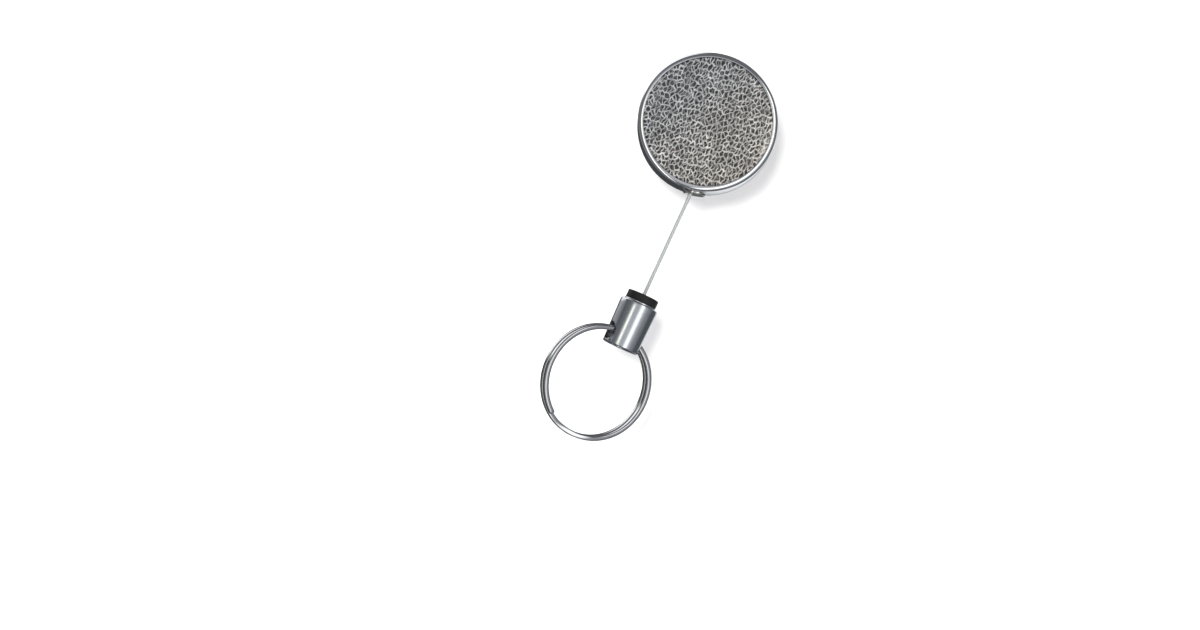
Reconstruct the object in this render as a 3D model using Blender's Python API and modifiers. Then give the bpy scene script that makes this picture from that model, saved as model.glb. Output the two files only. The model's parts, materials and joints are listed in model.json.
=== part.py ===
"""A retractable badge reel: a round metal case with a leather-look face, a sprung spool with a coated
steel cable, a swivel barrel with a split ring, and a sprung swivel clip on the back.

Origin: centre of the case, on the spool's axis. +Z is up as it hangs, the face looks along -Y.
Lengths below are in millimetres and are turned into metres where a mesh is made.
"""

import math

import bmesh
import bpy
from mathutils import Euler, Matrix, Vector

MM = 0.001
GAP = 0.07  # between faces that slide on or rest against each other

# Case. Heights marked "front" run along -Y from the case's middle.
CASE_RADIUS = 19.0
SHEET = 0.6
CASE_FRONT = 5.5
WEB_FRONT = 4.0
LIP_INNER_RADIUS = 17.6
RIM_RADIUS = 17.65
INLAY_RADIUS = LIP_INNER_RADIUS - 0.1
INLAY_FRONT = 5.1
INLAY_ROUND = 0.4
CROWN_RADIUS = 0.65  # the lip's rounded top
REAR_ROUND = 0.5  # where the wall turns in to the rolled rim
RIM_THICK = 0.53
BACK_PLATE_RADIUS = 18.2
BACK_PLATE_FRONT = -4.1
BACK_PLATE_THICK = 0.8
BACK_PLATE_HOLE_RADIUS = 1.6
OUTLET_HOLE_RADIUS = 2.2
EYELET_FLANGE_RADIUS = 3.2

# Spool and what turns with it
POST_RADIUS = 2.5
POST_TAIL_RADIUS = 1.5
RIVET_BORE_RADIUS = 1.05
RIVET_BORE_TOP = 0.0
SPRING_SLOT = (1.4, 0.5)  # depth and width
SPRING_SLOT_TOP = 2.3
BORE_RADIUS = 2.6
WASHER_RADIUS = 5.5
FRONT_WASHER_THICK = 0.3
REAR_WASHER_THICK = 0.4
FLANGE_RADIUS = 16.5
FLANGE_THICK = 0.55
DRUM_RADIUS = 10.8
CHAMBER_RADIUS = 8.6
CHANNEL_REAR = -3.02
CHANNEL_FRONT = 2.42
PEG_CIRCLE_RADIUS = 9.75
PEG_RADIUS = 0.6

# Cable
CABLE_RADIUS = 0.5
LAYER_RADII = (11.6, 12.75, 13.9)
TURNS_A_LAYER = 3
WOUND_TURNS = 7.5
STEPS_A_TURN = 18
THROAT = (-0.45, -18.3)  # x and z where the cable runs through the eyelet's throat
PIVOT = (-1.2, 0.0, -20.0)  # where the cable bends over the eyelet's lip
LEAN_DEG = 14.3  # how far the pulled cable leans from straight down
BEND_UPPER = (0.27, 0.73)  # heights of its ends above the pivot
BEND_LOWER = (0.75, 4.6)  # its ends, down the cable from the pivot
INNER_RUN_END = (-0.86, 0.0, -18.98)

# Power spring
SPRING_INNER_RADIUS = 3.2
SPRING_OUTER_RADIUS = 8.2
SPRING_TURNS = 6.5
SPRING_THICK = 0.2

# Cable end. Distances run down the cable from the pivot.
BUMPER_AT = 30.07
BUMPER_RADIUS = 4.3
BUMPER_LONG = 2.2
BUMPER_BORE_RADIUS = 0.7
BOSS_AT = BUMPER_AT + 2.28
SHOULDER_AT = BUMPER_AT + 2.65
BARREL_END_AT = BUMPER_AT + 15.55
BARREL_TOP_RADIUS = 5.4
BARREL_END_RADIUS = 5.12
BOSS_RADIUS = 4.5
SHOULDER_ROUND = 0.8
BARREL_END_ROUND = 0.35
BARREL_TOP_THICK = 2.0
BARREL_CABLE_HOLE_RADIUS = 0.95
BARREL_BORE_RADIUS = 2.25
CROSS_HOLE_UP = 3.1  # hole axis above the barrel's lower end
CROSS_HOLE_RADIUS = 2.5
BARREL_TURN_DEG = -27.5
THRUST_WASHER_AT = BUMPER_AT + 4.38
THRUST_WASHER_THICK = 0.4
THRUST_WASHER_RADII = (0.75, 2.05)
FERRULE_AT = THRUST_WASHER_AT + THRUST_WASHER_THICK + GAP
FERRULE_LONG = 3.53
FERRULE_RADII = (0.58, 1.7)
CABLE_END_AT = BUMPER_AT + 8.2

# Split ring
RING_OUTER_RADIUS = 16.0
RING_WIDE = 1.45
RING_COIL_THICK = 1.75
RING_PITCH = 1.83
RING_ABOVE_HOLE = 0.8  # wire centre above the hole's axis, inside the barrel
RING_ASIDE = 2.1  # ring centre to the side of the barrel's axis
RING_CHAMFER = 0.32
RING_START_DEG = 262.0
RING_STEPS_A_TURN = 36

# Clip. y is measured from the case's middle towards the wearer.
CLIP_WASHER_BACK = 5.87
CLIP_BASE_FACE = 5.93
CLIP_SHEET = 0.9
CLIP_HALF_WIDE = 6.6
CLIP_JAW_Z = -15.8
CLIP_BASE_TOP_Z = 13.0
PIN_Z = 5.0
PIN_Y = 10.3
PIN_RADIUS = 1.0
PIN_HEAD_RADIUS = 1.6
PIN_HEAD_LONG = 0.68
EAR_RADIUS = 2.7
SWIVEL_HOLE_RADIUS = 2.0
RIVET_SHANK_RADIUS = 1.0
RIVET_SHANK_END = -0.9
RIVET_SHOULDER_RADIUS = 1.9
RIVET_HEAD_RADIUS = 3.1
RIVET_HEAD_TALL = 0.75
LEVER_HALF_WIDE = 5.5
LEVER_EAR_RADIUS = 2.0
LEVER_SIDE = (  # (y, z) from the pin, from the jaw's tip up to the end of the thumb pad
    (-2.55, -20.6),
    (0.2, -18.4),
    (2.1, -5.0),
    (2.6, -1.0),
    (3.1, 3.0),
    (4.4, 6.0),
    (4.4, 10.6),
)
CLIP_SPRING_RADIUS = 1.65
CLIP_SPRING_WIRE_RADIUS = 0.3
CLIP_SPRING_PITCH = 0.8
CLIP_SPRING_TURNS = 5
BASE_LEG_END = (-2.75, 6.2)  # y and z from the pin
LEVER_LEG_END = (2.55, 5.2)

CASE_STEPS = 64
ROUND_STEPS = 48
SMALL_STEPS = 24


def new_material(name, colour, roughness, metallic):
    material = bpy.data.materials.new(name)
    material.use_nodes = True
    shader = material.node_tree.nodes["Principled BSDF"]
    shader.inputs["Base Color"].default_value = (*colour, 1.0)
    shader.inputs["Roughness"].default_value = roughness
    shader.inputs["Metallic"].default_value = metallic
    return material


def make_materials():
    looks = {
        "chrome": ((0.82, 0.82, 0.83), 0.08, 1.0),
        "polished_nickel": ((0.74, 0.72, 0.68), 0.14, 1.0),
        "zinc_plate": ((0.55, 0.56, 0.57), 0.32, 1.0),
        "spring_steel": ((0.30, 0.31, 0.34), 0.30, 1.0),
        "satin_metal": ((0.52, 0.54, 0.56), 0.28, 1.0),
        "leather": ((0.09, 0.09, 0.09), 0.55, 0.0),
        "black_rubber": ((0.012, 0.012, 0.012), 0.45, 0.0),
        "coated_cable": ((0.62, 0.63, 0.62), 0.35, 0.3),
        "acetal": ((0.80, 0.79, 0.75), 0.40, 0.0),
        "nylon_washer": ((0.70, 0.70, 0.67), 0.45, 0.0),
        "brass": ((0.72, 0.55, 0.27), 0.25, 1.0),
    }
    return {name: new_material(name, *look) for name, look in looks.items()}


def clear_scene():
    for obj in list(bpy.data.objects):
        bpy.data.objects.remove(obj, do_unlink=True)


def new_collection(name):
    collection = bpy.data.collections.new(name)
    bpy.context.scene.collection.children.link(collection)
    return collection


clear_scene()
MATERIALS = make_materials()
PARTS = new_collection("retractable_badge_reel")
CUTTERS = new_collection("cutters")
CUTTERS.hide_render = True

# The local Z of FRONTWARD points out of the reel's face.
FRONTWARD = Euler((math.pi / 2, 0.0, 0.0)).to_matrix().to_4x4()
UPRIGHT = Matrix.Identity(4)


def add_object(name, data, material, matrix=UPRIGHT, parent=None):
    obj = bpy.data.objects.new(name, data)
    PARTS.objects.link(obj)
    obj.parent = parent
    obj.matrix_local = matrix
    data.materials.append(MATERIALS[material])
    return obj


def add_empty(name, location, rotation=(0.0, 0.0, 0.0), parent=None):
    empty = bpy.data.objects.new(name, None)
    PARTS.objects.link(empty)
    empty.parent = parent
    empty.location = Vector(location) * MM
    empty.rotation_euler = rotation
    return empty


def arc(centre, radius, start_deg, end_deg, steps):
    """Points on a circle, from one angle to another, both included."""
    angles = [math.radians(start_deg + (end_deg - start_deg) * i / steps) for i in range(steps + 1)]
    return [(centre[0] + radius * math.cos(a), centre[1] + radius * math.sin(a)) for a in angles]


def turned(name, outline, material, matrix=UPRIGHT, parent=None, steps=ROUND_STEPS):
    """A turned piece from (radius, height) points that run down its outer side.

    An outline whose ends are off the axis is closed to a loop, which makes a ring or a tube.
    """
    mesh = bpy.data.meshes.new(name)
    points = [(r * MM, 0.0, h * MM) for r, h in outline]
    edges = [(i, i + 1) for i in range(len(points) - 1)]
    if outline[0][0] > 0:
        edges.append((len(points) - 1, 0))
    mesh.from_pydata(points, edges, [])
    obj = add_object(name, mesh, material, matrix, parent)
    screw = obj.modifiers.new("turn", "SCREW")
    screw.angle = 2 * math.pi
    screw.steps = steps
    screw.render_steps = steps
    screw.use_smooth_shade = True
    screw.use_merge_vertices = True
    screw.merge_threshold = 0.00001
    return obj


def washer(name, inner, outer, low, high, material, matrix=UPRIGHT, parent=None, steps=ROUND_STEPS):
    outline = [(inner, high), (outer, high), (outer, low), (inner, low)]
    return turned(name, outline, material, matrix, parent, steps)


def link_cutter(obj):
    CUTTERS.objects.link(obj)
    obj.hide_render = True
    obj.display_type = "WIRE"
    return obj


def rod_mesh(name, radius, length, steps=SMALL_STEPS):
    """A rod along Z, centred on the origin."""
    mesh = bpy.data.meshes.new(name)
    bm = bmesh.new()
    size = radius * MM
    bmesh.ops.create_cone(bm, cap_ends=True, segments=steps, radius1=size, radius2=size, depth=length * MM)
    bm.to_mesh(mesh)
    bm.free()
    return mesh


def box_mesh(name, size):
    mesh = bpy.data.meshes.new(name)
    bm = bmesh.new()
    scale = Matrix.Diagonal((*[s * MM for s in size], 1.0))
    bmesh.ops.create_cube(bm, size=1.0, matrix=scale)
    bm.to_mesh(mesh)
    bm.free()
    return mesh


def place(location, rotation=(0.0, 0.0, 0.0)):
    return Matrix.Translation(Vector(location) * MM) @ Euler(rotation).to_matrix().to_4x4()


ALONG_X = (0.0, math.pi / 2, 0.0)
ALONG_Y = (math.pi / 2, 0.0, 0.0)


def combine(obj, mesh, matrix, operation, parent=None):
    """A Boolean of obj with a helper mesh placed in the same parent's space."""
    helper = link_cutter(bpy.data.objects.new(obj.name + "_" + operation.lower(), mesh))
    helper.parent = parent
    helper.matrix_local = matrix
    boolean = obj.modifiers.new(operation.lower(), "BOOLEAN")
    boolean.operation = operation
    boolean.solver = "EXACT"
    boolean.object = helper
    return boolean


def cut(obj, mesh, matrix, parent=None):
    return combine(obj, mesh, matrix, "DIFFERENCE", parent)


def join(obj, mesh, matrix, parent=None):
    return combine(obj, mesh, matrix, "UNION", parent)


def wire(name, points, radius, material, parent=None, matrix=UPRIGHT):
    """A round wire through the points, with filled ends."""
    curve = bpy.data.curves.new(name, "CURVE")
    curve.dimensions = "3D"
    curve.bevel_depth = radius * MM
    curve.bevel_resolution = 2
    curve.use_fill_caps = True
    spline = curve.splines.new("POLY")
    spline.points.add(len(points) - 1)
    for target, point in zip(spline.points, points):
        target.co = (*(Vector(point) * MM), 1.0)
    return add_object(name, curve, material, matrix, parent)


def bent_sheet(name, side_outline, half_wide, thick, material, parent=None):
    """A bent strip of sheet: its side view is a list of (y, z), and it is half_wide each way in x."""
    mesh = bpy.data.meshes.new(name)
    bm = bmesh.new()
    left = [bm.verts.new((-half_wide * MM, y * MM, z * MM)) for y, z in side_outline]
    edges = [bm.edges.new(pair) for pair in zip(left, left[1:])]
    made = bmesh.ops.extrude_edge_only(bm, edges=edges)["geom"]
    moved = [v for v in made if isinstance(v, bmesh.types.BMVert)]
    bmesh.ops.translate(bm, verts=moved, vec=(2 * half_wide * MM, 0.0, 0.0))
    bm.to_mesh(mesh)
    bm.free()
    obj = add_object(name, mesh, material, parent=parent)
    solidify = obj.modifiers.new("sheet", "SOLIDIFY")
    solidify.thickness = thick * MM
    solidify.offset = 0.0
    solidify.use_even_offset = True
    return obj


def make_front_shell():
    outer = CASE_RADIUS
    inner = outer - SHEET
    crown_middle = (LIP_INNER_RADIUS + 0.75, CASE_FRONT - CROWN_RADIUS)
    rear_middle = (outer - REAR_ROUND, -CASE_FRONT + REAR_ROUND)
    rim_top = -CASE_FRONT + RIM_THICK
    outline = [(0.0, WEB_FRONT), (LIP_INNER_RADIUS, WEB_FRONT), (LIP_INNER_RADIUS, CASE_FRONT - 0.5)]
    outline += arc(crown_middle, CROWN_RADIUS, 135, 0, 4)
    outline += [(outer, CASE_FRONT - 0.9)]
    outline += arc(rear_middle, REAR_ROUND, 0, -90, 2)
    outline += [(RIM_RADIUS, -CASE_FRONT), (RIM_RADIUS, rim_top), (inner, rim_top)]
    outline += [(inner, WEB_FRONT - SHEET), (0.0, WEB_FRONT - SHEET)]
    shell = turned("front_shell", outline, "chrome", FRONTWARD, steps=CASE_STEPS)
    hole = rod_mesh("outlet_hole", OUTLET_HOLE_RADIUS, 3.0)
    cut(shell, hole, place((0.0, 0.0, -CASE_RADIUS)))
    return shell


def make_leather_inlay():
    round_middle = (INLAY_RADIUS - INLAY_ROUND, INLAY_FRONT - INLAY_ROUND)
    rear = WEB_FRONT + GAP
    outline = [(0.0, INLAY_FRONT)] + arc(round_middle, INLAY_ROUND, 90, 0, 3)
    outline += [(INLAY_RADIUS, rear), (0.0, rear)]
    return turned("leather_inlay", outline, "leather", FRONTWARD, steps=CASE_STEPS)


def make_back_plate():
    low = BACK_PLATE_FRONT - BACK_PLATE_THICK
    radii = (BACK_PLATE_HOLE_RADIUS, BACK_PLATE_RADIUS)
    return washer("back_plate", *radii, low, BACK_PLATE_FRONT, "zinc_plate", FRONTWARD)


def make_center_post():
    """The fixed arbor: its tail sits in the back plate, and it is bored for the clip's rivet."""
    top = WEB_FRONT - SHEET - GAP
    shoulder = BACK_PLATE_FRONT + GAP
    tail = BACK_PLATE_FRONT - BACK_PLATE_THICK
    outline = [(0.0, top), (POST_RADIUS - 0.2, top), (POST_RADIUS, top - 0.2)]
    outline += [(POST_RADIUS, shoulder), (POST_TAIL_RADIUS, shoulder), (POST_TAIL_RADIUS, tail)]
    outline += [(RIVET_BORE_RADIUS, tail), (RIVET_BORE_RADIUS, RIVET_BORE_TOP), (0.0, RIVET_BORE_TOP)]
    post = turned("center_post", outline, "zinc_plate", FRONTWARD, steps=SMALL_STEPS)
    slot = box_mesh("spring_slot", (*SPRING_SLOT, SPRING_SLOT_TOP - CHANNEL_REAR))
    middle = (SPRING_SLOT_TOP + CHANNEL_REAR) / 2
    cut(post, slot, FRONTWARD @ place((POST_RADIUS - 0.45, 0.0, middle)))
    return post


def nylon_washer(name, inner, outer, low, high):
    return washer(name, inner, outer, low, high, "nylon_washer", FRONTWARD, steps=SMALL_STEPS)


def make_case_washers():
    front = WEB_FRONT - SHEET - 0.06
    nylon_washer("front_washer", BORE_RADIUS, WASHER_RADIUS, front - FRONT_WASHER_THICK, front)
    rear = BACK_PLATE_FRONT + GAP
    nylon_washer("rear_washer", BORE_RADIUS, WASHER_RADIUS, rear, rear + REAR_WASHER_THICK)


def make_outlet_eyelet():
    wall = -CASE_RADIUS
    rim = EYELET_FLANGE_RADIUS
    outline = [(1.95, wall + 1.25), (2.5, wall + 1.2), (2.65, wall + 0.95), (2.1, wall + 0.76)]
    outline += [(2.1, wall - 0.03)]
    outline += [(rim - 0.1, wall - 0.05), (rim, wall - 0.2), (rim, wall - 0.5), (rim - 0.2, wall - 0.7)]
    outline += [(2.6, wall - 0.72), (2.1, wall - 0.5), (1.7, wall - 0.1), (1.4, wall + 0.4)]
    outline += [(1.45, wall + 0.85)]
    return turned("outlet_eyelet", outline, "polished_nickel", steps=32)


def tangent_angle():
    """The angle round the spool at which the cable leaves the outer layer for the eyelet."""
    reach = math.hypot(*THROAT)
    return math.atan2(THROAT[1], THROAT[0]) + math.acos(LAYER_RADII[-1] / reach)


def make_cable_inner_run():
    angle = tangent_angle()
    radius = LAYER_RADII[-1]
    start = Vector((radius * math.cos(angle), 0.0, radius * math.sin(angle)))
    throat = Vector((THROAT[0], 0.0, THROAT[1]))
    start += (throat - start).normalized() * 0.2
    points = [start, start.lerp(throat, 0.5), throat + Vector((0.25, 0.0, 0.35))]
    points += [throat + Vector((-0.12, 0.0, -0.2)), Vector(INNER_RUN_END)]
    return wire("cable_inner_run", points, CABLE_RADIUS, "coated_cable")


def smooth_step(t):
    t = min(max(t, 0.0), 1.0)
    return t * t * (3 - 2 * t)


LEAD_IN_TURNS = 0.03
LEAD_IN_RADIUS = 9.9


def coil_point(turn):
    """The wound cable's centre, as (radius, angle, front), turn by turn from the anchor."""
    climb = 0.12
    radius = LAYER_RADII[0]
    radius += (LAYER_RADII[1] - LAYER_RADII[0]) * smooth_step((turn - TURNS_A_LAYER) / climb + 0.5)
    radius += (LAYER_RADII[2] - LAYER_RADII[1]) * smooth_step((turn - 2 * TURNS_A_LAYER) / climb + 0.5)
    radius -= (LAYER_RADII[0] - LEAD_IN_RADIUS) * smooth_step(-turn / LEAD_IN_TURNS)
    low, high = CHANNEL_REAR + CABLE_RADIUS + 0.2, CHANNEL_FRONT - CABLE_RADIUS - 0.2
    if turn <= TURNS_A_LAYER:
        front = low + (high - low) * max(turn, 0.0) / TURNS_A_LAYER
    elif turn <= 2 * TURNS_A_LAYER:
        front = high - (high - low) * (turn - TURNS_A_LAYER) / TURNS_A_LAYER
    else:
        front = low - low * (turn - 2 * TURNS_A_LAYER) / (WOUND_TURNS - 2 * TURNS_A_LAYER)
    angle = tangent_angle() + 2 * math.pi * (WOUND_TURNS - turn)
    return radius, angle, front


def on_spool(radius, angle, front):
    return Vector((radius * math.cos(angle), -front, radius * math.sin(angle)))


def make_cable_coil(spool):
    lead_in = [-LEAD_IN_TURNS, -LEAD_IN_TURNS * 2 / 3, -LEAD_IN_TURNS / 3]
    count = round(WOUND_TURNS * STEPS_A_TURN)
    turns = lead_in + [i / STEPS_A_TURN for i in range(count + 1)]
    points = [on_spool(*coil_point(t)) for t in turns]
    return wire("cable_coil", points, CABLE_RADIUS, "coated_cable", parent=spool)


def anchor_matrix(offset):
    """A frame in the drum's pocket: Z along the cable's end, X outward, offset back along the cable."""
    _, angle, front = coil_point(-LEAD_IN_TURNS)
    centre = on_spool(LEAD_IN_RADIUS, angle, front)
    outward = Vector((math.cos(angle), 0.0, math.sin(angle)))
    back = Vector((-math.sin(angle), 0.0, math.cos(angle)))
    turn = Matrix((outward, back.cross(outward), back)).transposed().to_4x4()
    return Matrix.Translation((centre + back * offset) * MM) @ turn


def make_cable_anchor(spool):
    length = 1.9
    mesh = rod_mesh("cable_anchor", 0.8, length, steps=20)
    return add_object("cable_anchor", mesh, "brass", anchor_matrix(length / 2 + 0.2), spool)


def peg_places(front):
    angles = [math.radians(60 + 120 * i) for i in range(3)]
    return [(PEG_CIRCLE_RADIUS * math.cos(a), PEG_CIRCLE_RADIUS * math.sin(a), front) for a in angles]


def make_spool_drum(spool):
    """Rear flange, drum and spring chamber in one moulding, with three pegs for the cover."""
    rear = CHANNEL_REAR - FLANGE_THICK
    outline = [(CHAMBER_RADIUS, CHANNEL_FRONT), (DRUM_RADIUS, CHANNEL_FRONT), (DRUM_RADIUS, CHANNEL_REAR)]
    outline += [(FLANGE_RADIUS, CHANNEL_REAR), (FLANGE_RADIUS, rear), (BORE_RADIUS, rear)]
    outline += [(BORE_RADIUS, CHANNEL_REAR), (CHAMBER_RADIUS, CHANNEL_REAR)]
    drum = turned("spool_drum", outline, "acetal", FRONTWARD, spool)
    for spot in peg_places(CHANNEL_FRONT + 0.15):
        join(drum, rod_mesh("peg", PEG_RADIUS, 0.8, steps=12), FRONTWARD @ place(spot), spool)
    cut(drum, box_mesh("anchor_pocket", (3.4, 2.1, 6.4)), anchor_matrix(0.0) @ place((0.75, 0.0, 0.3)), spool)
    slot = box_mesh("spring_hook_slot", (2.0, 0.6, 5.2))
    cut(drum, slot, FRONTWARD @ spring_end_matrix() @ place((0.9, 0.0, 0.0)), spool)
    return drum


def make_spool_cover(spool):
    low = CHANNEL_FRONT + 0.05
    high = low + FLANGE_THICK - 0.05
    cover = washer("spool_cover", BORE_RADIUS, FLANGE_RADIUS, low, high, "acetal", FRONTWARD, spool)
    for spot in peg_places(low):
        cut(cover, rod_mesh("peg_hole", PEG_RADIUS + 0.1, 3.0, steps=12), FRONTWARD @ place(spot), spool)
    return cover


def spring_end_matrix():
    """Where the spring's outer end meets the drum, with X outward, in the spool's front frame."""
    turn = 2 * math.pi * SPRING_TURNS
    return Matrix.Rotation(turn, 4, "Z") @ place((SPRING_OUTER_RADIUS, 0.0, -0.3))


def make_power_spring(spool):
    """A flat spiral strip: a tab in the post's slot, the winding, and a hook in the drum's wall."""
    count = round(SPRING_TURNS * STEPS_A_TURN)
    path = [(POST_RADIUS - 0.95, 0.0), (SPRING_INNER_RADIUS - 0.25, 0.0)]
    for i in range(2, count):
        angle = 2 * math.pi * SPRING_TURNS * i / count
        radius = SPRING_INNER_RADIUS + (SPRING_OUTER_RADIUS - SPRING_INNER_RADIUS) * i / count
        path.append((radius * math.cos(angle), radius * math.sin(angle)))
    last = 2 * math.pi * SPRING_TURNS
    for radius in (SPRING_OUTER_RADIUS + 0.15, SPRING_OUTER_RADIUS + 1.1):
        path.append((radius * math.cos(last), radius * math.sin(last)))
    low, high = CHANNEL_REAR + 0.25, CHANNEL_FRONT - 0.35
    mesh = bpy.data.meshes.new("power_spring")
    bm = bmesh.new()
    verts = [bm.verts.new((x * MM, y * MM, low * MM)) for x, y in path]
    edges = [bm.edges.new(pair) for pair in zip(verts, verts[1:])]
    made = bmesh.ops.extrude_edge_only(bm, edges=edges)["geom"]
    moved = [v for v in made if isinstance(v, bmesh.types.BMVert)]
    bmesh.ops.translate(bm, verts=moved, vec=(0.0, 0.0, (high - low) * MM))
    bm.to_mesh(mesh)
    bm.free()
    spring = add_object("power_spring", mesh, "spring_steel", FRONTWARD, spool)
    solidify = spring.modifiers.new("strip", "SOLIDIFY")
    solidify.thickness = SPRING_THICK * MM
    solidify.offset = 0.0
    return spring


def cable_stretch(name, start, end, line):
    """A straight stretch of the cable, from one distance down it to another."""
    mesh = rod_mesh(name, CABLE_RADIUS, end - start, steps=16)
    return add_object(name, mesh, "coated_cable", place((0.0, 0.0, -(start + end) / 2)), line)


def make_cable_bend(line):
    """Two short stretches of the cable at the lip, one for each of the two ways it turns there."""
    x, y, z = PIVOT
    low, high = BEND_UPPER
    upper = rod_mesh("cable_bend_upper", CABLE_RADIUS, high - low, steps=16)
    add_object("cable_bend_upper", upper, "coated_cable", place((x, y, z + (low + high) / 2)))
    cable_stretch("cable_bend_lower", *BEND_LOWER, line)


def make_cable_end(line):
    """The free cable down to its crimped ferrule, and the washer the ferrule bears on."""
    cable_stretch("cable_free_run", BEND_LOWER[1] + GAP, CABLE_END_AT, line)
    top = -THRUST_WASHER_AT
    span = (top - THRUST_WASHER_THICK, top)
    washer("thrust_washer", *THRUST_WASHER_RADII, *span, "brass", parent=line, steps=SMALL_STEPS)
    span = (-FERRULE_AT - FERRULE_LONG, -FERRULE_AT)
    washer("cable_ferrule", *FERRULE_RADII, *span, "zinc_plate", parent=line, steps=SMALL_STEPS)


def make_bumper(barrel_empty):
    top = -BUMPER_AT
    low = top - BUMPER_LONG
    outline = [(BUMPER_BORE_RADIUS, top), (BUMPER_RADIUS - 0.2, top), (BUMPER_RADIUS, top - 0.2)]
    outline += [(BUMPER_RADIUS, low + 0.1), (BUMPER_RADIUS - 0.1, low), (BUMPER_BORE_RADIUS, low)]
    return turned("bumper", outline, "black_rubber", parent=barrel_empty, steps=36)


def make_barrel(barrel_empty):
    """A turned barrel, bored from below for the ferrule and cross-drilled for the ring."""
    end = -BARREL_END_AT
    shoulder_middle = (BARREL_TOP_RADIUS - SHOULDER_ROUND, -SHOULDER_AT - SHOULDER_ROUND)
    end_middle = (BARREL_END_RADIUS - BARREL_END_ROUND, end + BARREL_END_ROUND)
    plate = -BOSS_AT - BARREL_TOP_THICK
    outline = [(BARREL_CABLE_HOLE_RADIUS, -BOSS_AT), (BOSS_RADIUS - 0.1, -BOSS_AT)]
    outline += [(BOSS_RADIUS, -BOSS_AT - 0.1), (BOSS_RADIUS, -SHOULDER_AT)]
    outline += arc(shoulder_middle, SHOULDER_ROUND, 90, 0, 3)
    outline += arc(end_middle, BARREL_END_ROUND, 0, -90, 2)
    outline += [(BARREL_BORE_RADIUS, end), (BARREL_BORE_RADIUS, plate), (BARREL_CABLE_HOLE_RADIUS, plate)]
    barrel = turned("barrel", outline, "satin_metal", parent=barrel_empty, steps=36)
    hole = rod_mesh("cross_hole", CROSS_HOLE_RADIUS, 14.0, steps=32)
    cut(barrel, hole, place((0.0, 0.0, end + CROSS_HOLE_UP), ALONG_X), barrel_empty)
    return barrel


def ring_section():
    """The flat wire's section: a rectangle with its corners taken off."""
    profile = bpy.data.curves.new("ring_section", "CURVE")
    profile.dimensions = "2D"
    half_wide, half_thick = RING_WIDE / 2, RING_COIL_THICK / 2
    corners = []
    for x, y in ((1, 1), (-1, 1), (-1, -1), (1, -1)):
        near_x = (x * (half_wide - RING_CHAMFER), y * half_thick)
        near_y = (x * half_wide, y * (half_thick - RING_CHAMFER))
        corners += [near_y, near_x] if x * y > 0 else [near_x, near_y]
    section = profile.splines.new("POLY")
    section.points.add(len(corners) - 1)
    for target, (x, y) in zip(section.points, reversed(corners)):
        target.co = (x * MM, y * MM, 0.0, 1.0)
    section.use_cyclic_u = True
    return link_cutter(bpy.data.objects.new("ring_section", profile))


def make_split_ring(ring_empty):
    """Flat wire in two turns that lie side by side, with a jog where one becomes the other."""
    middle = RING_OUTER_RADIUS - RING_WIDE / 2
    steps = RING_STEPS_A_TURN
    last = 2 * steps - 2
    curve = bpy.data.curves.new("split_ring", "CURVE")
    curve.dimensions = "3D"
    curve.twist_mode = "Z_UP"
    curve.bevel_mode = "OBJECT"
    curve.bevel_object = ring_section()
    curve.use_fill_caps = True
    spline = curve.splines.new("POLY")
    spline.points.add(last)
    for i, target in enumerate(spline.points):
        angle = math.radians(RING_START_DEG) + 2 * math.pi * i / steps
        rise = RING_PITCH * (smooth_step((i - steps + 2) / 4) - 0.5)
        target.co = (middle * math.cos(angle) * MM, middle * math.sin(angle) * MM, rise * MM, 1.0)
    return add_object("split_ring", curve, "chrome", ring_matrix(), ring_empty)


def ring_matrix():
    """The ring's place in its hinge's frame, whose X is the cross hole's axis."""
    middle = RING_OUTER_RADIUS - RING_WIDE / 2
    drop = math.sqrt(middle**2 - RING_ASIDE**2) - RING_ABOVE_HOLE
    return place((-RING_ASIDE, 0.0, -drop), ALONG_Y)


def make_swivel_rivet():
    """Shank in the post, shoulder for the clip to turn on, and a domed head."""
    tail = BACK_PLATE_FRONT - BACK_PLATE_THICK - GAP
    head = -CLIP_BASE_FACE - CLIP_SHEET - GAP
    outline = [(0.0, RIVET_SHANK_END), (RIVET_SHANK_RADIUS, RIVET_SHANK_END), (RIVET_SHANK_RADIUS, tail)]
    outline += [(RIVET_SHOULDER_RADIUS, tail), (RIVET_SHOULDER_RADIUS, head), (RIVET_HEAD_RADIUS, head)]
    outline += [(RIVET_HEAD_RADIUS, head - 0.3), (RIVET_HEAD_RADIUS - 0.7, head - RIVET_HEAD_TALL + 0.1)]
    outline += [(0.0, head - RIVET_HEAD_TALL)]
    return turned("swivel_rivet", outline, "polished_nickel", FRONTWARD, steps=SMALL_STEPS)


def make_clip_washer():
    plate = BACK_PLATE_FRONT - BACK_PLATE_THICK
    nylon_washer("clip_washer", SWIVEL_HOLE_RADIUS, 4.5, -CLIP_WASHER_BACK, plate - GAP)


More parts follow.
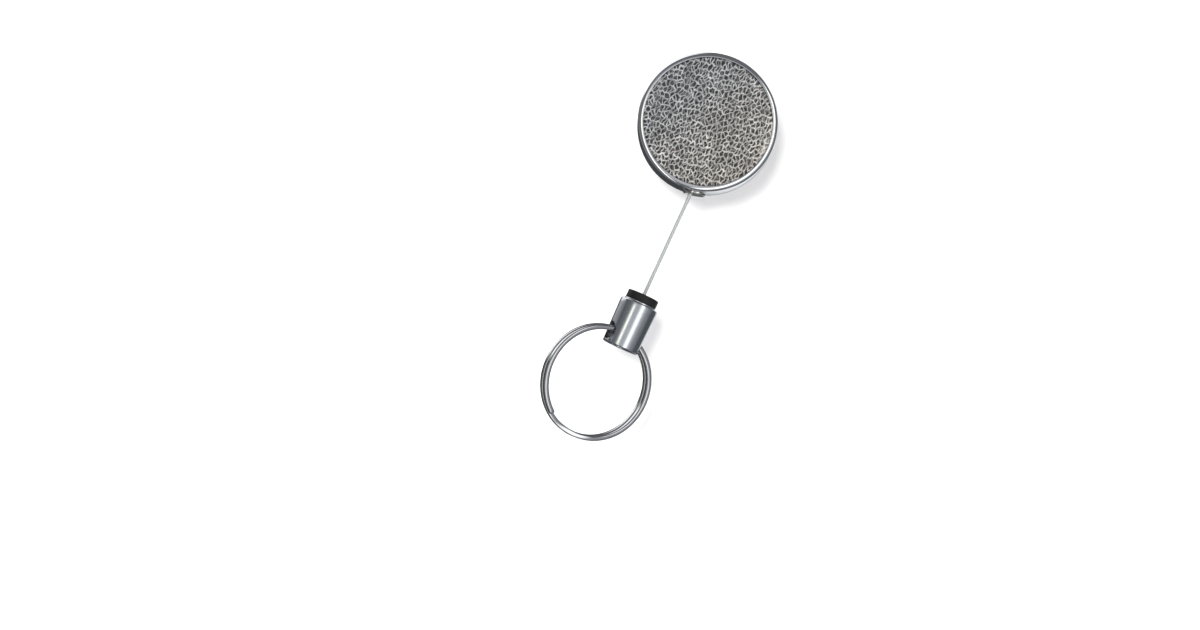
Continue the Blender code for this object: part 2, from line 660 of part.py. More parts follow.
def make_clip_base(clip):
    """The fixed jaw: a stamped plate with two ears for the pin and a turned-up tip."""
    y = CLIP_BASE_FACE + CLIP_SHEET / 2
    side = [(y, CLIP_BASE_TOP_Z), (y, CLIP_JAW_Z + 0.9), (y + 0.45, CLIP_JAW_Z)]
    base = bent_sheet("clip_base", side, CLIP_HALF_WIDE, CLIP_SHEET, "polished_nickel", clip)
    ear_x = CLIP_HALF_WIDE - CLIP_SHEET / 2
    foot = CLIP_BASE_FACE + 0.1
    rise = PIN_Y - foot
    for x in (-ear_x, ear_x):
        web = box_mesh("ear_web", (CLIP_SHEET, rise, 2 * EAR_RADIUS))
        join(base, web, place((x, foot + rise / 2, PIN_Z)), clip)
        ear = rod_mesh("ear", EAR_RADIUS, CLIP_SHEET)
        join(base, ear, place((x, PIN_Y, PIN_Z), ALONG_X), clip)
    cut(base, pin_hole_mesh(), place((0.0, PIN_Y, PIN_Z), ALONG_X), clip)
    swivel_hole = rod_mesh("swivel_hole", SWIVEL_HOLE_RADIUS, 4.0)
    cut(base, swivel_hole, place((0.0, y, 0.0), ALONG_Y), clip)
    return base


def pin_hole_mesh():
    return rod_mesh("pin_hole", PIN_RADIUS + 0.08, 20.0)


def make_clip_pin(clip):
    """A pin with a head formed on each end."""
    face = CLIP_HALF_WIDE + GAP
    end = face + PIN_HEAD_LONG
    head = PIN_HEAD_RADIUS
    upper = [(0.0, end), (head - 0.4, end), (head, end - 0.25), (head, face), (PIN_RADIUS, face)]
    lower = [(radius, -height) for radius, height in reversed(upper)]
    matrix = place((0.0, PIN_Y, PIN_Z), ALONG_X)
    return turned("clip_pin", upper + lower, "zinc_plate", matrix, clip, steps=SMALL_STEPS)


def make_clip_lever(lever_empty):
    """The moving jaw, in its pin's frame: a bent strip with a flat thumb pad and two ears."""
    lever = bent_sheet("clip_lever", LEVER_SIDE, LEVER_HALF_WIDE, CLIP_SHEET, "polished_nickel", lever_empty)
    ear_x = LEVER_HALF_WIDE - CLIP_SHEET / 2
    ear_thick = CLIP_SHEET - 0.04
    for x in (-ear_x, ear_x):
        web = box_mesh("lever_web", (ear_thick, 2.9, 2 * LEVER_EAR_RADIUS))
        join(lever, web, place((x, 1.2, -0.2)), lever_empty)
        ear = rod_mesh("lever_ear", LEVER_EAR_RADIUS, ear_thick)
        join(lever, ear, place((x, 0.0, 0.0), ALONG_X), lever_empty)
    cut(lever, pin_hole_mesh(), place((0.0, 0.0, 0.0), ALONG_X), lever_empty)
    return lever


def make_clip_spring(lever_empty):
    """A torsion spring round the pin, one leg on the base and one under the lever's thumb end."""
    radius = CLIP_SPRING_RADIUS
    steps = 12
    count = CLIP_SPRING_TURNS * steps + steps // 4
    half = CLIP_SPRING_PITCH * count / steps / 2
    start = math.radians(-60)
    points = [Vector((-half, *BASE_LEG_END))]
    for i in range(count + 1):
        angle = start + 2 * math.pi * i / steps
        x = -half + CLIP_SPRING_PITCH * i / steps
        points.append(Vector((x, radius * math.sin(angle), radius * math.cos(angle))))
    points.append(Vector((half, *LEVER_LEG_END)))
    return wire("clip_spring", points, CLIP_SPRING_WIRE_RADIUS, "spring_steel", lever_empty)


def main():
    make_front_shell()
    make_leather_inlay()
    make_back_plate()
    make_center_post()
    make_case_washers()
    make_outlet_eyelet()
    make_cable_inner_run()
    make_swivel_rivet()
    make_clip_washer()

    spool = add_empty("spool_axis", (0.0, 0.0, 0.0))
    make_spool_drum(spool)
    make_spool_cover(spool)
    make_cable_coil(spool)
    make_cable_anchor(spool)
    make_power_spring(spool)

    line = add_empty("cable_line", PIVOT, (0.0, math.radians(LEAN_DEG), 0.0))
    make_cable_bend(line)
    make_cable_end(line)
    barrel_empty = add_empty("barrel_axis", (0.0, 0.0, 0.0), (0.0, 0.0, -math.radians(BARREL_TURN_DEG)), line)
    make_bumper(barrel_empty)
    make_barrel(barrel_empty)
    ring_empty = add_empty("ring_axis", (0.0, 0.0, -BARREL_END_AT + CROSS_HOLE_UP), parent=barrel_empty)
    make_split_ring(ring_empty)

    clip = add_empty("clip_axis", (0.0, 0.0, 0.0))
    make_clip_base(clip)
    make_clip_pin(clip)
    lever_empty = add_empty("lever_axis", (0.0, PIN_Y, PIN_Z), parent=clip)
    make_clip_lever(lever_empty)
    make_clip_spring(lever_empty)


main()
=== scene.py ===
"""The looks of the retractable badge reel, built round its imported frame.

Lengths are millimetres in the row frame, turned into metres where a mesh is made: Z is up as the reel
hangs, the face looks along -Y. A piece is modelled in its own frame and then rides on its body.
"""

import json
import math

import bmesh
import bpy
import numpy as np
from mathutils import Euler, Matrix, Vector

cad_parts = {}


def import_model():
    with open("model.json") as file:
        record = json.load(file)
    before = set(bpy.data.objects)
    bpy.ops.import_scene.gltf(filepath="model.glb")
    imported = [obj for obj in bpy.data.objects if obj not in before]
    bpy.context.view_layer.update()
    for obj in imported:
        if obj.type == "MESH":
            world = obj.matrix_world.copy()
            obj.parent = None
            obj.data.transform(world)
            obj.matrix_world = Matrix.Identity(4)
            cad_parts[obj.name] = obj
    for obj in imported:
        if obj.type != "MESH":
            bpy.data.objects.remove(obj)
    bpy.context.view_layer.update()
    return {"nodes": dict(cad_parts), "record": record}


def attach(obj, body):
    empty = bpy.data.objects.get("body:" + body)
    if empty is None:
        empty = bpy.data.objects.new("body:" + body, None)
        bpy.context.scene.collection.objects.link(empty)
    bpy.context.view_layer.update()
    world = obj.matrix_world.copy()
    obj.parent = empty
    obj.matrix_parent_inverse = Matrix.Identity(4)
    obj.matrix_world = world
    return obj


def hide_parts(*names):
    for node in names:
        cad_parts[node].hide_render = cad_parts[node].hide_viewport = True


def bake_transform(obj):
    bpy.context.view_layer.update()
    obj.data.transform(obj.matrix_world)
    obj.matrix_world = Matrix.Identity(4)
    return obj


MM = 0.001

# Case. Heights marked "front" run along -Y from the case's middle.
CASE_RADIUS = 19.0
CASE_FRONT = 5.5
WEB_FRONT = 4.0
WALL_THICK = 0.6
LIP_INNER_RADIUS = 17.6
LIP_SLOPE_RADIUS = 1.7
LIP_EDGE_RADIUS = 1.126
RIM_RADIUS = 17.65
INLAY_RADIUS = 17.5
INLAY_FRONT = 5.1
INLAY_REAR = 4.07
INLAY_ROUND = 0.2
PLATE_RADIUS = 18.15
PLATE_REAR = -4.9
PLATE_FRONT = -4.1
PLATE_HOLE_RADIUS = 1.6
OUTLET_HOLE_RADIUS = 2.2

# Grain of the inlay: cells of two sizes, longer up and down, parted by creases of two widths
GRAIN_STEPS = 330
GRAIN_DEEP = 0.05
GRAIN_FADE = 0.6
EDGE_RELIEF = 0.4
GRAIN_SLANT = 0.2
COARSE_CELL = 1.02
FINE_CELL = 0.7
COARSE_CREASE = 0.105
FINE_CREASE = 0.065
COARSE_SEED = 11
FINE_SEED = 23

# Cable. Distances run down the cable from the pivot at the eyelet's lip.
CABLE_RADIUS = 0.5
OUTER_LAYER_RADIUS = 13.9
THROAT = (-0.45, -18.3)
INNER_RUN_END = (-0.86, -18.98)
PIVOT = Vector((-1.2, 0.0, -20.0))
LEAN_DEG = 14.3
CABLE_END_AT = 38.27
CABLE_STEP = 0.3
CABLE_STRANDS = 7
CABLE_SIDES = 28
CABLE_GROOVE = 0.035
CABLE_TWIST = 0.16
MOUTH_HEIGHTS = (-19.0, -19.6)
BEND_END_AT = 1.0

# Barrel and bumper
BUMPER_AT = 30.07
BUMPER_RADIUS = 4.4
BUMPER_LONG = 2.2
BARREL_TOP_RADIUS = 5.4
BARREL_END_RADIUS = 5.12
BARREL_END_AT = BUMPER_AT + 15.55
CROSS_HOLE_UP = 3.1
CROSS_HOLE_RADIUS = 2.5
BARREL_TURN_DEG = -27.5

# Split ring
RING_OUTER_RADIUS = 16.0
RING_WIDE = 1.45
RING_COIL_THICK = 1.75
RING_PITCH = 1.83
RING_ABOVE_HOLE = 0.8
RING_ASIDE = 2.1
RING_SQUARENESS = 3.0
RING_START_DEG = 262.0
RING_TURNS = 1.93
RING_STEPS = 220
RING_JOGS_A_TURN = 8
RING_JOG_EARLY = 0.35
RING_END_TAPER = 0.18
RING_TAPER_LONG = 0.5

# Clip
CLIP_WASHER = (-5.87, -4.97)
CLIP_BASE_FACE = 5.93
CLIP_SHEET = 0.9
CLIP_HALF_WIDE = 6.6
CLIP_TOP_Z = 13.0
CLIP_JAW_Z = -15.8
PIN_Y = 10.3
PIN_Z = 5.0
LEVER_HALF_WIDE = 5.5
SHEET_STEP = 0.35
SHEET_ACROSS = 41
TIP_TEETH = 5.0
TOOTH_LONG = 0.55
EAR_SIDES = 96
SPRING_COIL_RADIUS = 1.65
SPRING_WIRE_RADIUS = 0.3
SPRING_PITCH = 0.8
SPRING_TURNS = 5.25
SPRING_STEPS = 24
SPRING_START_DEG = -60.0

# Photograph's view
CAMERA_AIM = Vector((-19.30, -3.0, -56.72))
CAMERA_ROLL_DEG = 10.4
CAMERA_BELOW_DEG = 4.0
CAMERA_AWAY = 720.0
FRAME_WIDE = 324.0
SENSOR = 36.0

# Meshes
ROUND_STEPS = 160
MERGE_WITHIN = 1e-7
TAPER_STEPS = 24
MARK_SCALE = 9000.0

# Stage
BACKDROP_Y = 32.0
BACKDROP_FAR = 2500.0
FLOOR_Z = -720.0
FLOOR_FAR = 20000.0

LIT_MIDDLE = Vector((-0.005, 0.0, -0.04))

# What polished surfaces see: each soft box's left and right edge and softness, round the barrel's axis from
# straight ahead, then its low and high edge, all in degrees, and its colour.
SOFT_BOXES = [
    (-28.0, -17.0, 3.0, -75.0, 8.0, (1.9, 1.85, 1.6)),
    (17.0, 38.0, 7.0, -60.0, 40.0, (1.75, 1.76, 1.78)),
    (60.0, 80.0, 9.0, -30.0, 12.0, (0.24, 0.25, 0.27)),
    (-140.0, -95.0, 8.0, 5.0, 60.0, (1.5, 1.52, 1.55)),
    (-112.0, -84.0, 8.0, -60.0, 8.0, (0.24, 0.25, 0.26)),
    (140.0, 176.0, 7.0, -30.0, 50.0, (0.9, 0.92, 0.95)),
]
BOX_SOFT_TOP = 6.0


# ---------------------------------------------------------------- node graphs


class Graph:
    """A material's or world's node tree, with short ways to add and join its nodes."""

    def __init__(self, tree):
        self.tree = tree
        tree.nodes.clear()

    def add(self, kind, inputs=None, **settings):
        node = self.tree.nodes.new(kind)
        for key, value in settings.items():
            setattr(node, key, value)
        for key, value in (inputs or {}).items():
            self.put(node.inputs[key], value)
        return node

    def put(self, socket, value):
        if isinstance(value, bpy.types.NodeSocket):
            self.tree.links.new(value, socket)
        else:
            socket.default_value = value

    def math(self, operation, a, b=0.0, c=0.0, clamp=False):
        node = self.add("ShaderNodeMath", {0: a, 1: b, 2: c}, operation=operation, use_clamp=clamp)
        return node.outputs[0]

    def ramp(self, value, low, high, out_low=0.0, out_high=1.0):
        """Smooth step of value from low..high to out_low..out_high."""
        inputs = {0: value, 1: low, 2: high, 3: out_low, 4: out_high}
        node = self.add("ShaderNodeMapRange", inputs, interpolation_type="SMOOTHSTEP")
        return node.outputs[0]

    def band(self, value, low, high, soft):
        """1 between low and high, with soft edges."""
        rise = self.ramp(value, low - soft, low + soft)
        fall = self.ramp(value, high - soft, high + soft, 1.0, 0.0)
        return self.math("MULTIPLY", rise, fall)

    def mix(self, share, a, b):
        node = self.add("ShaderNodeMix", data_type="RGBA")
        self.put(node.inputs[0], share)
        self.put(node.inputs[6], a)
        self.put(node.inputs[7], b)
        return node.outputs[2]

    def noise(self, vector, scale, detail=3.0, roughness=0.55):
        inputs = {"Vector": vector, "Scale": scale, "Detail": detail, "Roughness": roughness}
        return self.add("ShaderNodeTexNoise", inputs).outputs[0]

    def vector(self, x, y, z):
        return self.add("ShaderNodeCombineXYZ", {0: x, 1: y, 2: z}).outputs[0]

    def split(self, vector):
        return self.add("ShaderNodeSeparateXYZ", {0: vector}).outputs


def rgb(*values):
    return (*values, 1.0)


MATERIALS = {}


def new_graph(name):
    material = bpy.data.materials.new(name)
    material.use_nodes = True
    graph = Graph(material.node_tree)
    coordinates = graph.add("ShaderNodeTexCoord").outputs["Object"]
    MATERIALS[name] = material
    return graph, coordinates


def finish_material(graph, settings, bump=None, bump_mm=0.02):
    shader = graph.add("ShaderNodeBsdfPrincipled", settings)
    if bump is not None:
        made = graph.add("ShaderNodeBump", {"Height": bump, "Distance": bump_mm * MM, "Strength": 1.0})
        graph.put(shader.inputs["Normal"], made.outputs[0])
    output = graph.add("ShaderNodeOutputMaterial")
    graph.put(output.inputs[0], shader.outputs[0])


def make_metal(name, colour, roughness, marks="none", mark_depth=0.0, smudge=0.05, tarnish=None):
    """A metal with faint smudges and, where asked, the marks of turning or of brushing."""
    graph, coordinates = new_graph(name)
    x, y, z = graph.split(coordinates)
    patches = graph.noise(coordinates, 260.0, 4.0)
    specks = graph.noise(coordinates, 2600.0, 2.0)
    rough = graph.ramp(patches, 0.35, 0.75, roughness - smudge / 2, roughness + smudge)
    base = graph.mix(graph.ramp(patches, 0.4, 0.8), rgb(*colour), rgb(*(tarnish or colour)))
    base = graph.mix(graph.ramp(specks, 0.62, 0.8, 0.0, 0.25), base, rgb(*(c * 0.6 for c in colour)))
    bump = None
    if marks != "none":
        if marks == "turned":
            squares = [graph.math("POWER", side, 2.0) for side in (x, y)]
            radius = graph.math("SQRT", graph.math("ADD", *squares))
            stretched = graph.vector(radius, 0.0, z)
        elif marks == "lengthwise":
            stretched = graph.vector(x, y, graph.math("MULTIPLY", z, 0.02))
        else:
            stretched = graph.vector(graph.math("MULTIPLY", x, 0.03), y, z)
        bump = graph.noise(stretched, MARK_SCALE, 2.0)
        rough = graph.math("ADD", rough, graph.ramp(bump, 0.3, 0.7, -0.03, 0.03))
    settings = {"Base Color": base, "Metallic": 1.0, "Roughness": rough}
    finish_material(graph, settings, bump, mark_depth)


def make_plastic(name, colour, dark, roughness, clear=0.0, grain=0.006, shine=0.4):
    """A moulded plastic or rubber with a fine grain, a little handling dirt and, if clear, some depth."""
    graph, coordinates = new_graph(name)
    patches = graph.noise(coordinates, 320.0, 4.0)
    fine = graph.noise(coordinates, 6000.0, 3.0)
    base = graph.mix(graph.ramp(patches, 0.35, 0.75), rgb(*colour), rgb(*dark))
    rough = graph.ramp(fine, 0.3, 0.7, roughness - 0.05, roughness + 0.08)
    settings = {"Base Color": base, "Roughness": rough, "Specular IOR Level": shine}
    if clear:
        settings["Subsurface Weight"] = clear
        settings["Subsurface Radius"] = (0.4, 0.38, 0.34)
        settings["Subsurface Scale"] = 0.001
    finish_material(graph, settings, fine, grain)


def make_leather():
    """Dark pebbles with a pale dusty crease network, carried by the mesh as the crease attribute."""
    graph, coordinates = new_graph("leather")
    crease = graph.add("ShaderNodeAttribute", attribute_name="crease").outputs["Fac"]
    x, y = graph.split(coordinates)[:2]
    patches = graph.noise(coordinates, 300.0, 4.0)
    fine = graph.noise(coordinates, 3500.0, 3.0)
    # Painted light: the pebble and crease tones both grow lighter and warmer towards the lower right and
    # cooler and darker towards the upper left, as the light falls across the face.
    painted_light_tint = graph.ramp(graph.math("SUBTRACT", x, y), -0.02, 0.025)
    dark = graph.mix(painted_light_tint, rgb(0.010, 0.011, 0.013), rgb(0.015, 0.0145, 0.0135))
    dark = graph.mix(graph.ramp(fine, 0.45, 0.75, 0.0, 0.25), dark, rgb(0.06, 0.06, 0.06))
    pale = graph.mix(painted_light_tint, rgb(0.47, 0.48, 0.49), rgb(0.58, 0.555, 0.515))
    share = graph.math("MULTIPLY", crease, graph.ramp(patches, 0.25, 0.7, 0.6, 1.0), clamp=True)
    base = graph.mix(share, dark, pale)
    rough = graph.ramp(crease, 0.0, 0.6, 0.5, 0.75)
    settings = {"Base Color": base, "Roughness": rough, "Specular IOR Level": 0.18}
    finish_material(graph, settings, fine, 0.02)


def make_coated_cable():
    """A clear nylon coat over twisted strands: pale grey, with painted shade as darker lines in the gaps
    between the strands.
    """
    graph, coordinates = new_graph("coated_cable")
    painted_strand_shade = graph.add("ShaderNodeAttribute", attribute_name="painted_strand_shade").outputs["Fac"]
    patches = graph.noise(coordinates, 500.0, 3.0)
    # Painted shade: dark where the mask is 0, in the gaps between strands, and pale on each strand's crown.
    base = graph.mix(painted_strand_shade, rgb(0.20, 0.22, 0.22), rgb(0.54, 0.56, 0.55))
    base = graph.mix(graph.ramp(patches, 0.4, 0.8, 0.0, 0.3), base, rgb(0.45, 0.46, 0.45))
    settings = {"Base Color": base, "Metallic": 0.35, "Roughness": 0.4}
    settings.update({"Coat Weight": 0.7, "Coat Roughness": 0.15})
    finish_material(graph, settings)


def make_materials():
    make_metal("ring_steel", (0.62, 0.62, 0.625), 0.06, smudge=0.03, tarnish=(0.56, 0.56, 0.57))
    make_metal("chrome", (0.86, 0.865, 0.87), 0.06, smudge=0.03, tarnish=(0.80, 0.81, 0.83))
    make_metal("polished_nickel", (0.72, 0.70, 0.66), 0.16, "across", 0.002, 0.07, (0.64, 0.61, 0.56))
    make_metal("zinc_plate", (0.55, 0.56, 0.57), 0.36, "turned", 0.004, 0.1, (0.46, 0.47, 0.47))
    make_metal("spring_steel", (0.30, 0.31, 0.34), 0.3, "across", 0.003, 0.08, (0.24, 0.23, 0.27))
    make_metal("satin_metal", (0.72, 0.74, 0.76), 0.2, "lengthwise", 0.001, 0.03, (0.68, 0.70, 0.73))
    make_metal("brass", (0.72, 0.55, 0.27), 0.3, "turned", 0.004, 0.1, (0.55, 0.41, 0.2))
    make_plastic("black_rubber", (0.008, 0.008, 0.0085), (0.013, 0.013, 0.013), 0.45, grain=0.012, shine=0.22)
    make_plastic("acetal", (0.78, 0.77, 0.73), (0.72, 0.71, 0.67), 0.4, clear=0.2)
    make_plastic("nylon_washer", (0.70, 0.70, 0.66), (0.62, 0.62, 0.58), 0.45, clear=0.3)
    make_leather()
    make_coated_cable()


# ---------------------------------------------------------------- frames and outlines


def place(location=(0.0, 0.0, 0.0), rotation=(0.0, 0.0, 0.0)):
    """A matrix whose place is given in millimetres."""
    return Matrix.Translation(Vector(location) * MM) @ Euler(rotation).to_matrix().to_4x4()


QUARTER = math.pi / 2
EDGE_TURNS = (0.5, 1.0, QUARTER)
UPRIGHT = Matrix.Identity(4)
FRONTWARD = place(rotation=(QUARTER, 0.0, 0.0))
LINE = place(PIVOT, (0.0, math.radians(LEAN_DEG), 0.0))
BARREL = LINE @ place(rotation=(0.0, 0.0, -math.radians(BARREL_TURN_DEG)))
HINGE = BARREL @ place((0.0, 0.0, CROSS_HOLE_UP - BARREL_END_AT))
LEVER = place((0.0, PIN_Y, PIN_Z))
ALONG_X = place(rotation=(0.0, QUARTER, 0.0))


def rounded(corners, closed=True, step_deg=12.0):
    """The outline through the corners, each (x, y) or (x, y, radius of its rounding)."""
    count = len(corners)
    outline = []
    for i, corner in enumerate(corners):
        point = np.array(corner[:2], float)
        radius = corner[2] if len(corner) > 2 else 0.0
        if radius == 0.0 or (not closed and i in (0, count - 1)):
            outline.append(point)
            continue
        before = np.array(corners[i - 1][:2], float) - point
        after = np.array(corners[(i + 1) % count][:2], float) - point
        reach = min(np.linalg.norm(before), np.linalg.norm(after)) * 0.499
        before /= np.linalg.norm(before)
        after /= np.linalg.norm(after)
        angle = math.acos(float(np.clip(before @ after, -1.0, 1.0)))
        if angle > math.pi - 0.01:
            outline.append(point)
            continue
        tangent = min(radius / math.tan(angle / 2), reach)
        radius = tangent * math.tan(angle / 2)
        middle = (before + after) / np.linalg.norm(before + after) * radius / math.sin(angle / 2)
        start, end = before * tangent - middle, after * tangent - middle
        steps = max(2, math.ceil(math.degrees(math.pi - angle) / step_deg))
        turn = math.pi - angle
        for k in range(steps + 1):
            a = math.sin(turn * (1 - k / steps)) / math.sin(turn)
            b = math.sin(turn * k / steps) / math.sin(turn)
            outline.append(point + middle + start * a + end * b)
    return outline


def smooth_path(points, rounds=3):
    """The path with its corners cut, its two ends kept."""
    path = [np.array(p, float) for p in points]
    for _ in range(rounds):
        cut = [path[0]]
        for a, b in zip(path, path[1:]):
            cut += [a * 0.75 + b * 0.25, a * 0.25 + b * 0.75]
        path = cut + [path[-1]]
    return np.array(path)


def resample(path, step):
    """The path at equal steps of about this length."""
    lengths = np.concatenate([[0.0], np.cumsum(np.linalg.norm(np.diff(path, axis=0), axis=1))])
    count = max(2, round(lengths[-1] / step) + 1)
    at = np.linspace(0.0, lengths[-1], count)
    return np.stack([np.interp(at, lengths, path[:, k]) for k in range(3)], axis=1)


# ---------------------------------------------------------------- meshes


def add_piece(name, verts, faces, material, matrix=UPRIGHT, smooth_deg=40.0):
    """A mesh object from vertices in millimetres."""
    mesh = bpy.data.meshes.new(name)
    mesh.from_pydata((np.array(verts, float) * MM).tolist(), [], faces)
    mesh.validate()
    mesh.shade_smooth()
    mesh.set_sharp_from_angle(angle=math.radians(smooth_deg))
    mesh.materials.append(MATERIALS[material])
    obj = bpy.data.objects.new(name, mesh)
    bpy.context.scene.collection.objects.link(obj)
    obj.matrix_world = matrix
    return obj


def grid_faces(rows, columns, wrap_rows, wrap_columns, first=0):
    """Quads over a grid of vertices stored row by row."""
    faces = []
    for i in range(rows if wrap_rows else rows - 1):
        for j in range(columns if wrap_columns else columns - 1):
            a, b = i * columns, ((i + 1) % rows) * columns
            k = (j + 1) % columns
            faces.append((first + a + j, first + b + j, first + b + k, first + a + k))
    return faces


def turned(name, outline, material, matrix=UPRIGHT, steps=ROUND_STEPS, closed=True, smooth_deg=40.0):
    """A solid turned about local Z from its closed outline of (radius, height)."""
    outline = np.array([p[:2] for p in outline], float)
    count = len(outline)
    angles = np.linspace(0.0, 2 * math.pi, steps, endpoint=False)
    radius, height = outline[:, 0], outline[:, 1]
    x = np.outer(np.cos(angles), radius)
    y = np.outer(np.sin(angles), radius)
    z = np.broadcast_to(height, x.shape)
    verts = np.stack([x, y, z], axis=2).reshape(-1, 3)
    faces = grid_faces(steps, count, True, closed)
    obj = add_piece(name, verts, faces, material, matrix, smooth_deg)
    turn_outward(obj, merge=True)
    return obj


def turn_outward(obj, merge=False):
    """Makes the faces look outward and, where asked, first merges the vertices that meet."""
    bm = bmesh.new()
    bm.from_mesh(obj.data)
    if merge:
        bmesh.ops.remove_doubles(bm, verts=bm.verts, dist=MERGE_WITHIN)
    bmesh.ops.recalc_face_normals(bm, faces=bm.faces)
    bm.to_mesh(obj.data)
    bm.free()


def tube(name, path, section, material, matrix=UPRIGHT, twist=0.0, up=(0.0, 1.0, 0.0), closed_ends=True):
    """A section, as (side, up) points, swept along a path without spinning."""
    path = np.array(path, float)
    section = np.array(section, float)
    tangent = np.gradient(path, axis=0)
    tangent /= np.linalg.norm(tangent, axis=1)[:, None]
    side = np.cross(tangent[0], up)
    side /= np.linalg.norm(side)
    rows = []
    for i, (point, along) in enumerate(zip(path, tangent)):
        side = side - along * (side @ along)
        side /= np.linalg.norm(side)
        lift = np.cross(side, along)
        turn = twist * i
        a = side * math.cos(turn) + lift * math.sin(turn)
        b = lift * math.cos(turn) - side * math.sin(turn)
        rows.append(point + np.outer(section[:, 0], a) + np.outer(section[:, 1], b))
    verts = np.concatenate(rows)
    count = len(section)
    faces = grid_faces(len(path), count, False, True)
    if closed_ends:
        faces.append(tuple(range(count)))
        faces.append(tuple(reversed(range(len(verts) - count, len(verts)))))
    obj = add_piece(name, verts, faces, material, matrix)
    turn_outward(obj, merge=True)
    return obj


def circle(radius, count, lobes=0, depth=0.0):
    angles = np.linspace(0.0, 2 * math.pi, count, endpoint=False)
    reach = radius - depth * (0.5 - 0.5 * np.cos(lobes * angles))
    return np.stack([reach * np.cos(angles), reach * np.sin(angles)], axis=1)


def domed_section(half_wide, half_tall, squareness, count):
    """A rolled wire's section: a square one with round corners and slightly domed sides."""
    angles = np.linspace(0.0, 2 * math.pi, count, endpoint=False) + math.pi / count
    x, y = np.cos(angles), np.sin(angles)
    wide = half_wide * np.sign(x) * np.abs(x) ** (2 / squareness)
    tall = half_tall * np.sign(y) * np.abs(y) ** (2 / squareness)
    return np.stack([wide, tall], axis=1)


def cut(obj, cutter):
    """Takes the cutter away from the piece, now."""
    boolean = obj.modifiers.new("cut", "BOOLEAN")
    boolean.operation = "DIFFERENCE"
    boolean.object = cutter
    boolean.solver = "EXACT"
    apply_modifiers(obj)
    bpy.data.objects.remove(cutter, do_unlink=True)


def apply_modifiers(obj):
    bpy.context.view_layer.update()
    evaluated = obj.evaluated_get(bpy.context.evaluated_depsgraph_get())
    made = bpy.data.meshes.new_from_object(evaluated)
    obj.modifiers.clear()
    obj.data = made


def bevel(obj, width, segments=3, angle_deg=35.0):
    """Rounds the piece's sharp edges."""
    modifier = obj.modifiers.new("bevel", "BEVEL")
    modifier.width = width * MM
    modifier.segments = segments
    modifier.limit_method = "ANGLE"
    modifier.angle_limit = math.radians(angle_deg)
    modifier.harden_normals = False
    apply_modifiers(obj)
    obj.data.set_sharp_from_angle(angle=math.radians(50.0))


def rod(radius, low, high, matrix):
    """A cutter along local Z."""
    outline = [(0.0, low), (radius, low), (radius, high), (0.0, high)]
    return turned("cutter", outline, "chrome", matrix, steps=96)


def join_pieces(name, objects):
    """One object from several, in the first one's frame."""
    first = objects[0]
    bpy.context.view_layer.update()
    bm = bmesh.new()
    back = first.matrix_world.inverted()
    for obj in objects:
        mesh = obj.data.copy()
        mesh.transform(back @ obj.matrix_world)
        bm.from_mesh(mesh)
        bpy.data.meshes.remove(mesh)
    bm.to_mesh(first.data)
    bm.free()
    for obj in objects[1:]:
        bpy.data.objects.remove(obj, do_unlink=True)
    first.name = name
    return first


def settle(obj, body, slot, *nodes):
    """The piece rides on its body, and stands for these CAD nodes."""
    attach(obj, body)
    if nodes:
        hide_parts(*nodes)
    return obj


# ---------------------------------------------------------------- case


def lip_crown():
    """The lip's top: a gentle slope that tightens into the wall, as (radius, front) by its normal's tilt."""
    first = np.array([LIP_INNER_RADIUS + 0.12, CASE_FRONT])
    points = []
    for radius, low, high in ((LIP_SLOPE_RADIUS, 3.0, 25.0), (LIP_EDGE_RADIUS, 25.0, 90.0)):
        tilts = np.radians(np.linspace(low, high, 11))
        normals = np.stack([np.sin(tilts), np.cos(tilts)], axis=1)
        arc = first + radius * (normals - normals[0])
        points += list(arc[1:] if points else arc)
        first = arc[-1]
    return points


def make_case_shell():
    """A drawn cup: flat web behind the inlay, a wide rounded lip, and a rim rolled over the back plate."""
    outer, inner = CASE_RADIUS, CASE_RADIUS - WALL_THICK
    web_rear = WEB_FRONT - WALL_THICK
    corners = [(0.0, WEB_FRONT), (LIP_INNER_RADIUS - 0.25, WEB_FRONT, 0.2)]
    corners += [(LIP_INNER_RADIUS, WEB_FRONT + 0.45, 0.2), (LIP_INNER_RADIUS, 5.38, 0.1)]
    corners += [(LIP_INNER_RADIUS + 0.01, 5.47), *lip_crown()]
    corners += [(outer, 0.0), (outer, -CASE_FRONT + 0.1, 0.45), (18.2, -CASE_FRONT, 0.3)]
    corners += [(RIM_RADIUS, -5.35, 0.2), (RIM_RADIUS - 0.02, -4.96, 0.08), (inner, -4.97, 0.1)]
    corners += [(inner, web_rear, 0.4), (0.0, web_rear)]
    shell = turned("case_shell", rounded(corners), "chrome", FRONTWARD, steps=224)
    cut(shell, rod(OUTLET_HOLE_RADIUS, -20.0, -17.0, UPRIGHT))
    shell.data.set_sharp_from_angle(angle=math.radians(40.0))
    settle(shell, "case", "chrome", "front_shell")


def cell_edges(x, y, size, seed):
    """Distance to the nearest edge between scattered cells of about this size."""
    random = np.random.default_rng(seed)
    count = int(40 / size) + 6
    offset = random.random((count, count, 2)) * 0.9 + 0.05
    u, v = x / size + count / 2, y / size + count / 2
    near = np.stack([u, v], axis=1)
    home = np.floor(near).astype(int)
    points = []
    for i in range(-2, 3):
        for j in range(-2, 3):
            a, b = np.clip(home[:, 0] + i, 0, count - 1), np.clip(home[:, 1] + j, 0, count - 1)
            points.append(np.stack([a, b], axis=1) + offset[a, b])
    points = np.array(points)
    distance = np.linalg.norm(points - near, axis=2)
    order = np.argsort(distance, axis=0)[:2]
    rows = np.arange(len(x))
    first, second = points[order[0], rows], points[order[1], rows]
    gap = distance[order[1], rows] ** 2 - distance[order[0], rows] ** 2
    return gap / (2 * np.linalg.norm(second - first, axis=1) + 1e-6) * size


